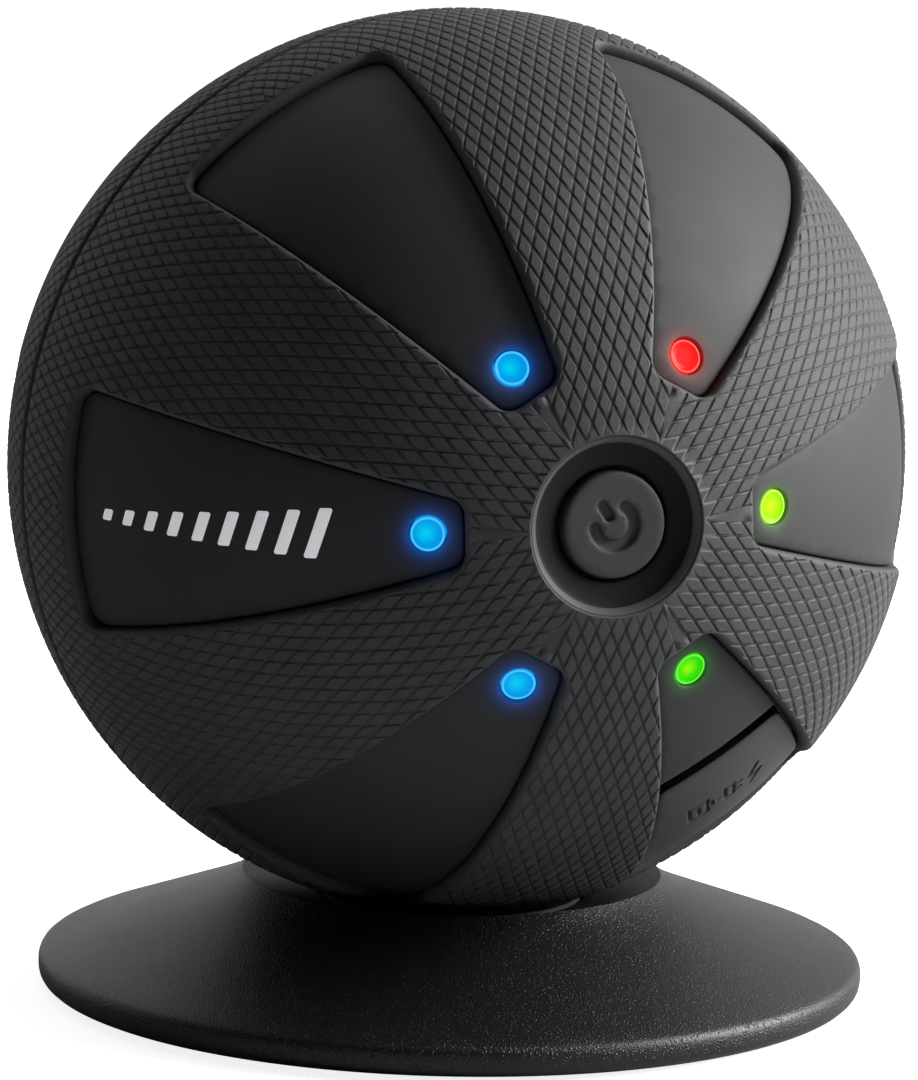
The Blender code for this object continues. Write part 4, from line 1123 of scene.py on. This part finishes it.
def grip_half(rear):
    """Vertices, normals, triangles and the plane and pole flags of one half sector."""
    sketch = Sketch()
    first, outline = draw_borders(sketch, rear)
    draw_lattice(sketch)
    xy, tris = sketch.triangulate()
    xy, tris = trimmed(xy, tris, inside(outline, xy[tris].mean(1)), 1e-8)
    dirs, *flags = snapped(xy)
    on_rib, on_panel, _ = flags
    outer = dirs * (BALL_R + grip_height(dirs, rear))[:, None]
    normals = grip_normals(dirs, rear)

    # walls stand on the border's edges, except along the two planes
    window, hole, seam = edge_distances(dirs)
    border = (np.abs(window) < 2e-3) | (np.abs(seam) < 2e-3)
    if not rear:
        border |= np.abs(hole) < 2e-3
    a, b = boundary_edges(tris).T
    wall = border[a] & border[b] & ~((on_rib[a] & on_rib[b]) | (on_panel[a] & on_panel[b]))
    wall_edges = np.column_stack([a[wall], b[wall]])

    # the inside shares the walls' border points
    sketch = Sketch()
    for a, b in wall_edges:
        sketch.line([xy[a], xy[b]])
    sketch.line(meridian(HALF_SECTOR, np.linspace(first, WINDOW_IN, 4)))
    sketch.line(meridian(HALF_SECTOR, np.linspace(WINDOW_OUT, SEAM_POLAR, 5)))
    sketch.line(meridian(0.0, np.linspace(first, SEAM_POLAR, 24)))
    grid = hexgrid((1.0, first + 1.5), (29.0, 88.5), 3.6)
    for point in grid[pattern_room(grid) > 0.9]:
        sketch.point(point)
    inner_xy, inner_tris = sketch.triangulate()
    inner_xy, inner_tris = trimmed(inner_xy, inner_tris,
                                   inside(outline, inner_xy[inner_tris].mean(1)), 1e-7)
    inner_dirs, *inner_flags = snapped(inner_xy)
    inner = inner_dirs * SKIN_INNER_R

    count = len(outer)
    below = {int(i): count + int(np.argmin(((inner_dirs - dirs[i]) ** 2).sum(1)))
             for i in np.unique(wall_edges)}
    walls = []
    for a, b in wall_edges.tolist():
        walls.append((b, a, below[a]))
        walls.append((b, below[a], below[b]))
    tris = np.concatenate([tris, inner_tris[:, ::-1] + count, np.array(walls)])
    flags = [np.concatenate(pair) for pair in zip(flags, inner_flags)]
    return (np.concatenate([outer, inner]), np.concatenate([normals, np.zeros_like(inner)]),
            tris[:, ::-1], *flags)


def build_grip(name, rear):
    """Six half sectors and their six mirror images, sharing the points on the planes."""
    half_verts, half_normals, half_tris, on_rib, on_panel, pole = grip_half(rear)
    count = len(half_verts)
    own = ~(on_rib | on_panel)          # points that a mirrored half doesn't share
    only_panel = on_panel & ~on_rib
    rotations = []
    for k in range(6):
        t = math.radians(HALF_SECTOR + 2 * HALF_SECTOR * k)
        rotations.append(np.array([[math.cos(t), -math.sin(t), 0],
                                   [math.sin(t), math.cos(t), 0], [0, 0, 1]]))
    flip = np.array([1.0, -1.0, 1.0])

    def all_round(vectors):
        return np.concatenate([half @ rotation.T for half in (vectors, vectors[own] * flip)
                               for rotation in rotations])
    verts, normals = all_round(half_verts), all_round(half_normals)
    tris = [half_tris + k * count for k in range(6)]
    for k in range(6):
        index = np.full(count, -1)
        index[own] = 6 * count + k * own.sum() + np.arange(own.sum())
        index[on_rib] = k * count + np.where(on_rib)[0]
        index[only_panel] = (k - 1) % 6 * count + np.where(only_panel)[0]
        tris.append(index[half_tris][:, ::-1])
    tris = np.concatenate(tris)
    joined = np.arange(len(verts))      # the copies of a pole point become one
    poles = np.where(pole)[0]
    for k in range(1, 6):
        joined[k * count + poles] = poles
    tris = joined[tris]
    if rear:
        mirror = np.array([1.0, 1.0, -1.0])
        verts, normals, tris = verts * mirror, normals * mirror, tris[:, ::-1]
    used, tris = renumber(tris)
    verts, normals = verts[used], normals[used]
    a, b, c = tris.T
    tris = tris[(a != b) & (b != c) & (a != c)]
    return make_object(name, to_row(verts), tris, normals=turn_to_row(normals))


for side in ("front", "rear"):
    grip = build_grip(side + "_grip", rear=side == "rear")
    register(grip, grip_mat, "ball", replaces=side + "_grip_skin")


# ------------------------------------------------------------- panels and flap

PANEL_INSET = 0.16
LAMP_HOLE = (LAMP_POLAR, 0.0, 1.66)
PORT_POLAR = 52.0
PORT_LENGTH, PORT_WIDTH = 3.8, 9.2      # along u and along v
RECESS_IN, RECESS_INSET = 39.26, 0.30
FLAP_IN, FLAP_INSET = 41.35, 0.72
HINGE_POLAR, HINGE_R = 73.2, 38.2


def build_panels():
    """Six panels with lamp holes on the front half, six plain ones on the rear half."""
    full = window_outline(PANEL_INSET)
    short = window_outline(PANEL_INSET, u_out=39.25, fillet_out=0.5, straight_out=True)
    for i, angle in enumerate(PANEL_ANGLES, 1):
        shape, bottom = (short, 38.5) if angle == PORT_ANGLE else (full, 39.0)
        front = plate(shape, angle, PANEL_TOP, bottom, edge=0.32, holes=(LAMP_HOLE,))
        register(ball_object("front_panel_%d" % i, front, 50), panel_mat, "ball")
        rear = plate(full, angle, PANEL_TOP, 39.0, edge=0.32, mirror=True)
        register(ball_object("rear_panel_%d" % i, rear, 50), rear_panel_mat, "ball")


def build_recess():
    """Thin floor under the flap with the port's opening."""
    u, v = PORT_LENGTH * PANEL_DEG_PER_MM / 2, PORT_WIDTH * PANEL_DEG_PER_MM / 2
    corners = [(PORT_POLAR - u, -v, 1.6), (PORT_POLAR + u, -v, 1.6),
               (PORT_POLAR + u, v, 1.6), (PORT_POLAR - u, v, 1.6)]
    opening = densify(fillet(corners), 1.0)
    shape = window_outline(RECESS_INSET, u_in=RECESS_IN - RECESS_INSET, u_out=70.6,
                           fillet_in=0.4, fillet_out=0.4, straight_out=True)
    bed = plate(shape, PORT_ANGLE, 38.70, 38.30, edge=0.05, cuts=(opening,), step=2.0)
    # The bed takes the near-black material: painted shade in the deep finger slot beside the flap.
    register(ball_object("port_recess", bed, 50), painted_shade_mat, "ball")


# charging pictogram sunk in the flap: strokes in mm, x towards the pole and y across
ICON_POLAR = 52.6
ICON_HALF = 0.20
ICON = [
    [(-1.5, -4.6), (-1.5, -2.4), (1.5, -2.4), (1.5, -4.6), (-1.5, -4.6)],
    [(-0.5, -1.85), (0.5, -1.85)],
    [(-0.7, -3.5), (0.7, -3.5)],
    [(-1.3, -0.2), (-1.3, 0.9), (1.3, 0.9), (1.3, -0.2), (-1.3, -0.2)],
    [(0.65, 0.9), (0.65, 1.8)],
    [(-0.65, 0.9), (-0.65, 1.8)],
    [(0.0, -0.2), (0.0, -1.1)],
    [(1.9, 4.0), (-0.15, 2.8), (0.15, 4.5), (-1.9, 3.2)],
]


def icon_point(x, y):
    return (ICON_POLAR - x * PANEL_DEG_PER_MM, y * PANEL_DEG_PER_MM)


def icon_relief(uv):
    """Depth of the pictogram in mm."""
    within = np.full(len(uv), -1e9)
    for stroke in ICON:
        line = np.array([icon_point(x, y) for x, y in stroke])
        within = np.maximum(within, ICON_HALF * PANEL_DEG_PER_MM
                            - line_distance(uv, line, closed=False))
    return -0.26 * smoothstep((within / PANEL_DEG_PER_MM + 0.09) / 0.24)


def build_flap():
    """The flap: a curved plate, its hinge knuckle, tab and plug in one piece."""
    shape = window_outline(FLAP_INSET, u_in=FLAP_IN - FLAP_INSET, u_out=70.9,
                           fillet_in=1.5, fillet_out=1.6, straight_out=True)
    icon_grid = [icon_point(x, y) for x in np.arange(-2.30, 2.35, 0.10)
                 for y in np.arange(-5.05, 4.95, 0.10)]
    cover = plate(shape, PORT_ANGLE, PANEL_R + 0.02, 38.95, edge=0.30, relief=icon_relief,
                  extra=icon_grid, step=1.4)
    hinge = radial_matrix(HINGE_POLAR, PORT_ANGLE, HINGE_R)
    tab_at = (hinge @ Matrix.Rotation(math.radians(4.0), 4, 'Y')
              @ Matrix.Translation((-1.45, 0, 0.9)))
    plug_at = radial_matrix(PORT_POLAR, PORT_ANGLE, 38.4)
    verts, tris = merge([cover,
                         placed(barrel(radius=1.0, half=4.0, bore=0.62), hinge),
                         placed(bevelled_box((2.9, 7.9, 0.7), bevel=0.12), tab_at),
                         placed(bevelled_box((1.8, 7.0, 2.0), bevel=0.4), plug_at)])
    obj = ball_object("port_cover", (verts, tris), 62)
    register(obj, soft_mat, "flap", replaces="port_flap")

    # the flap's side nearest the pole, below the top surface, takes the near-black material:
    # painted shade in the finger slot
    obj.data.materials.append(painted_shade_mat)
    middle = verts[tris].mean(1)
    radius = np.linalg.norm(middle, axis=1)
    polar = np.degrees(np.arccos(middle[:, 2] / radius))
    around = np.arctan2(middle[:, 1], middle[:, 0]) - math.radians(PORT_ANGLE)
    dark = (polar * np.cos(around) < FLAP_IN + 0.25) & (radius < PANEL_R - 0.16)
    obj.data.polygons.foreach_set("material_index", dark.astype(np.int32))


build_panels()
build_recess()
build_flap()


# --------------------------------------------------------- button and lettering

# (radius, height) from the ball's centre
BUTTON_RIM = [(7.66, 38.6), (7.66, 40.30), (7.63, 40.36), (7.57, 40.35), (7.17, 39.86),
              (7.10, 39.78), (7.08, 39.70), (7.08, 38.6)]
BUTTON_BOWL = [(7.07, 38.2), (7.07, 39.69), (6.98, 39.63), (6.8, 39.56), (6.5, 39.47),
               (6.0, 39.35), (5.5, 39.25), (5.2, 39.18), (5.04, 39.12), (4.96, 39.03),
               (4.93, 38.90), (4.93, 37.6), (7.07, 37.6)]

rim = ball_object("button_rim", spin(BUTTON_RIM, 144), 50)
register(rim, rim_sheen_mat, "ball")
bowl = ball_object("button_surround", spin(BUTTON_BOWL, 144), 50)
register(bowl, bowl_mat, "ball", replaces="button_bezel")

# symbol sunk in the button: an open ring with a tick in its gap
SYMBOL_TURN = math.radians(121.0)
SYMBOL_GAP_HALF = math.radians(64.5)
RING_START = SYMBOL_TURN + SYMBOL_GAP_HALF
RING_END = SYMBOL_TURN + 2 * math.pi - SYMBOL_GAP_HALF
RING_R, STROKE_HALF = 1.76, 0.62
TICK_THINNER = 0.04                     # tick's half width below the ring's
TICK = [(math.cos(SYMBOL_TURN) * r, math.sin(SYMBOL_TURN) * r) for r in (0.95, 1.97)]
STROKE_OFFSETS = (-0.02, 0.05, 0.11, 0.17, 0.23, 0.28)


def ring_stroke(offset):
    """Outline of the open ring, moved inward by the offset."""
    half = STROKE_HALF - offset

    def arc(radius, start, end):
        return [radius * np.array([math.cos(t), math.sin(t)])
                for t in np.linspace(start, end, 40)]

    def cap(at, start):
        centre = RING_R * np.array([math.cos(at), math.sin(at)])
        return [centre + half * np.array([math.cos(at + t), math.sin(at + t)])
                for t in np.linspace(start, start + math.pi, 9)[1:-1]]
    return (arc(RING_R + half, RING_START, RING_END) + cap(RING_END, 0)
            + arc(RING_R - half, RING_END, RING_START) + cap(RING_START, math.pi))


def tick_stroke(offset):
    return capsule(*TICK, STROKE_HALF - TICK_THINNER - offset)


def symbol_depth(points):
    ring = [(RING_R * math.cos(t), RING_R * math.sin(t))
            for t in np.linspace(RING_START, RING_END, 60)]
    within = STROKE_HALF - np.minimum(line_distance(points, ring, closed=False),
                                      line_distance(points, TICK, closed=False) + TICK_THINNER)
    return -0.38 * smoothstep((within + 0.02) / 0.30)


def build_button():
    guides = [stroke(offset) for stroke in (ring_stroke, tick_stroke)
              for offset in STROKE_OFFSETS]
    face = plate(circle(4.6, 120), None, 39.80, 38.2, edge=0.34, relief=symbol_depth,
                 guides=guides, step=0.5)
    register(ball_object("button_face", face, 60), soft_mat, "button",
             replaces="button_cap")


def build_bars():
    """Nine slanted bars printed on a panel, wider towards the pole."""
    half_length, slant, count = 0.85, 0.35, 9
    bars = []
    for k in range(count):
        u = 36.5 + 4.0 * (count - 1 - k)
        half = 0.9 + 0.30 * k
        corners = [(u - half_length, -half), (u + half_length, -half),
                   (u + half_length, half), (u - half_length, half)]
        shape = fillet([(x + slant * y, y, 0.3) for x, y in corners])
        bars.append(plate(shape, BARS_ANGLE, PANEL_TOP + 0.03, PANEL_TOP - 0.08, edge=0.02))
    register(ball_object("level_bars", merge(bars), 50), glowing_ink_material(), "ball")


build_button()
build_bars()


# ------------------------------------------------------------ indicator lenses

LENS_BASE = 39.0
# (radius, height from the ball's centre)
LENS_PROFILE = [(0.0, 39.84), (0.7, 39.83), (1.06, 39.84), (1.18, 39.88), (1.26, 39.96),
                (1.35, 40.00), (1.43, 39.98), (1.49, 39.90), (1.51, 39.80), (1.51, 38.3),
                (0.0, 38.3)]
BALL_FRAME = Matrix((*((AXIS_X[i], AXIS_Y[i], AXIS_Z[i], offset)
                       for i, offset in enumerate((0.0, 0.0, BALL_HEIGHT * MM))),
                     (0, 0, 0, 1)))

lens_mats = {colour: lens_material("lens_light_%d" % i, look["face"], look["rim"], look["spot"])
             for i, (colour, look) in enumerate(LAMP_LOOKS.items(), 1)}
for i, (angle, colour) in enumerate(zip(PANEL_ANGLES, LAMP_COLOURS), 1):
    profile = [(radius, z - LENS_BASE) for radius, z in LENS_PROFILE]
    lens = upright_object("indicator_%d" % i, spin(profile, 48), 60)
    place = radial_matrix(LAMP_POLAR, angle, LENS_BASE)
    for row in range(3):
        place[row][3] *= MM
    # the turn puts the hot spot on the same side of every lens
    lens.matrix_world = (BALL_FRAME @ place
                         @ Matrix.Rotation(math.radians(-angle + 200.0), 4, 'Z'))
    register(lens, lens_mats[colour], "ball", replaces="led_lens_%d" % i)


# ----------------------------------------------------------------------- stand

def flare_height(radius):
    """Top of the stand's flare, steepening inward."""
    inward = 37.5 - radius
    return 3.1 + 0.355 * inward + 0.43 * (inward / 17.0) ** 10.0


def under_ball(sphere_radius, radius):
    """Height of a sphere's underside about the ball's centre."""
    return BALL_HEIGHT - math.sqrt(sphere_radius * sphere_radius - radius * radius)


# (radius, height) above the floor
SEAT_GROOVE = [(9.2, 6.6), (12.3, 6.6), (12.3, 8.3), (12.36, 8.42), (12.5, 8.5),
               (18.5, 10.16), (18.9, 10.31)]
STAND_RIM = [(37.18, 3.17), (37.42, 3.06), (37.64, 2.88), (37.80, 2.62), (37.89, 2.3),
             (37.91, 1.9), (37.89, 1.4), (37.80, 1.0), (37.62, 0.70), (37.35, 0.46),
             (37.05, 0.33), (36.7, 0.3)]
UNDERSIDE = [(34.7, 0.3), (34.7, 1.5), (31.3, 1.5), (31.3, 3.3), (24.0, 3.3), (24.0, 5.4),
             (0.0, 5.4)]

dish = [(r, under_ball(41.85, r)) for r in np.linspace(0.0, 9.2, 8)]
flare = [(r, flare_height(r))
         for r in (*np.linspace(19.3, 24.0, 12), *np.linspace(24.8, 36.9, 14))]
stand = upright_object("stand_shell",
                       spin(dish + SEAT_GROOVE + flare + STAND_RIM + UNDERSIDE, 180), 42)
seat_top = [(r, under_ball(41.6, r)) for r in np.linspace(9.62, 11.88, 6)]
seat_profile = [(9.62, 6.9), (9.5, 7.02), (9.5, seat_top[0][1] - 0.10), *seat_top,
                (12.0, seat_top[-1][1] - 0.10), (12.0, 7.02), (11.88, 6.9)]
seat = upright_object("seat_pad", spin(seat_profile, 144), 42)

stand_mat = stand_material()
register(stand, stand_mat, "stand", replaces="stand_body")
register(seat, soft_mat, "turning_seat", replaces="seat_ring")


# ------------------------------------------------------ materials for CAD pieces

SLOT_MATERIALS = {
    "grip": grip_mat,
    "shell": shell_mat,
    "soft": soft_mat,
    "stand": stand_mat,
    "steel": metal_material("brushed_steel", (0.56, 0.57, 0.59)),
    "brass": metal_material("brass", (0.72, 0.53, 0.24), rough=0.3),
    "board": board_material("solder_mask"),
    **{"light_" + colour: material for colour, material in lens_mats.items()},
    "chip": plastic_material("clear_epoxy", (0.75, 0.77, 0.78), rough=0.15, coat=0.5),
    "switch": plastic_material("switch_plastic", (0.05, 0.05, 0.055), rough=0.35),
    "nylon": plastic_material("nylon", (0.08, 0.08, 0.085), rough=0.45),
    "chassis": plastic_material("chassis_plastic", (0.10, 0.10, 0.11), rough=0.5),
    "windings": metal_material("enamelled_copper", (0.55, 0.26, 0.10), rough=0.35,
                               stretch=(12, 1, 1)),
    "cell": plastic_material("cell_sleeve", (0.03, 0.12, 0.38), rough=0.3, coat=0.3),
    "wire_red": plastic_material("red_insulation", (0.55, 0.02, 0.02)),
    "wire_black": plastic_material("black_insulation", (0.03, 0.03, 0.03)),
}
slot_of = {part["node"]: part["material_slot"] for part in frame["record"]["subparts"]}
for node, obj in frame["nodes"].items():
    material = SLOT_MATERIALS.get(slot_of.get(node, ""), shell_mat)
    # The seam's gasket takes the near-black material too: its own dark rubber, darkened further as
    # painted shade in the gap between the halves.
    set_material(obj, painted_shade_mat if node == "seam_gasket" else material)


# ----------------------------------------------------------------------- stage
# metres

def build_floor():
    """Pale floor that looks near white to the camera and lights the ball as mid grey."""
    bm = bmesh.new()
    bmesh.ops.create_grid(bm, x_segments=8, y_segments=8, size=3.0)
    mesh = bpy.data.meshes.new("floor")
    bm.to_mesh(mesh)
    bm.free()
    floor = bpy.data.objects.new("floor", mesh)
    floor.location = (0, 0, -0.0002)
    bpy.context.scene.collection.objects.link(floor)
    surface = Surface("pale_floor")
    pale = surface.ramp(surface.noise(surface.coords(), 6.0, detail=2.0),
                        [(0.3, (0.80, 0.80, 0.80)), (0.7, (0.84, 0.84, 0.84))])
    camera_ray = surface.add("LightPath").outputs["Is Camera Ray"]
    surface.shade({
        "Base Color": surface.mix_colour(camera_ray, (0.50, 0.50, 0.50, 1), pale),
        "Roughness": 0.9,
        "Emission Strength": surface.math("MULTIPLY", camera_ray, 0.85),
        "Emission Color": (1, 1, 1, 1),
    })
    set_material(floor, surface.material)


def build_world():
    """White to the camera; as light, a bright backdrop behind and a dim room in front."""
    world = bpy.data.worlds.new("studio")
    bpy.context.scene.world = world
    nodes = Nodes(world)
    output = nodes.add("OutputWorld")
    light = nodes.add("Background", {"Color": (1, 1, 1, 1)})
    seen = nodes.add("Background", {"Color": (1, 1, 1, 1), "Strength": 1.0})
    camera_ray = nodes.add("LightPath").outputs["Is Camera Ray"]
    mix = nodes.add("MixShader", {"Fac": camera_ray, 1: light.outputs[0], 2: seen.outputs[0]})
    towards_back = nodes.add("VectorMath", {0: nodes.add("TexCoord").outputs["Generated"],
                                            1: (0.33, 0.94, 0.05)}, operation="DOT_PRODUCT")
    span = nodes.add("MapRange", {
        "Value": towards_back.outputs["Value"],
        "From Min": -0.05, "From Max": 0.75,
        "To Min": 0.020, "To Max": 0.75,        # light in front, light behind
    }, interpolation_type="SMOOTHSTEP")
    nodes.feed(light, {"Strength": span.outputs[0]})
    nodes.feed(output, {0: mix.outputs[0]})


def area_light(name, place, target, size, power):
    data = bpy.data.lights.new(name, "AREA")
    data.energy = power
    data.shape = "RECTANGLE"
    data.size = size
    data.size_y = size
    obj = bpy.data.objects.new(name, data)
    obj.location = place
    obj.rotation_mode = "QUATERNION"
    obj.rotation_quaternion = (Vector(target) - Vector(place)).to_track_quat("-Z", "Y")
    bpy.context.scene.collection.objects.link(obj)


def build_camera(azimuth=-19.29, elevation=7.95, roll=1.234, distance=0.495):
    """Camera in front, round to the left and a little above, about the ball's centre."""
    azimuth, elevation, roll = (math.radians(q) for q in (azimuth, elevation, roll))
    back = Vector((math.sin(azimuth) * math.cos(elevation),
                   -math.cos(azimuth) * math.cos(elevation), math.sin(elevation)))
    level = Vector((math.cos(azimuth), math.sin(azimuth), 0.0))
    upright = back.cross(level)
    right = math.cos(roll) * level + math.sin(roll) * upright
    up = -math.sin(roll) * level + math.cos(roll) * upright
    place = Vector((0, 0, BALL_HEIGHT * MM)) + back * distance
    data = bpy.data.cameras.new("camera")
    data.sensor_width = 36.0
    data.sensor_fit = "AUTO"
    data.lens = 180.757
    data.shift_x = -0.0012037
    data.shift_y = -0.0734722
    data.clip_start = 0.01
    data.clip_end = 20.0
    camera = bpy.data.objects.new("camera", data)
    camera.matrix_world = Matrix((*zip(right, up, back, place), (0, 0, 0, 1)))
    bpy.context.scene.collection.objects.link(camera)
    bpy.context.scene.camera = camera


build_floor()
build_world()
area_light("key", place=(0.66, -0.16, 0.34), target=(0, 0, 0.05), size=0.45, power=15.0)
area_light("top", place=(0.02, -0.16, 0.75), target=(0, 0, 0.0), size=0.22, power=0.35)
build_camera()
bpy.context.scene.view_settings.view_transform = "Standard"
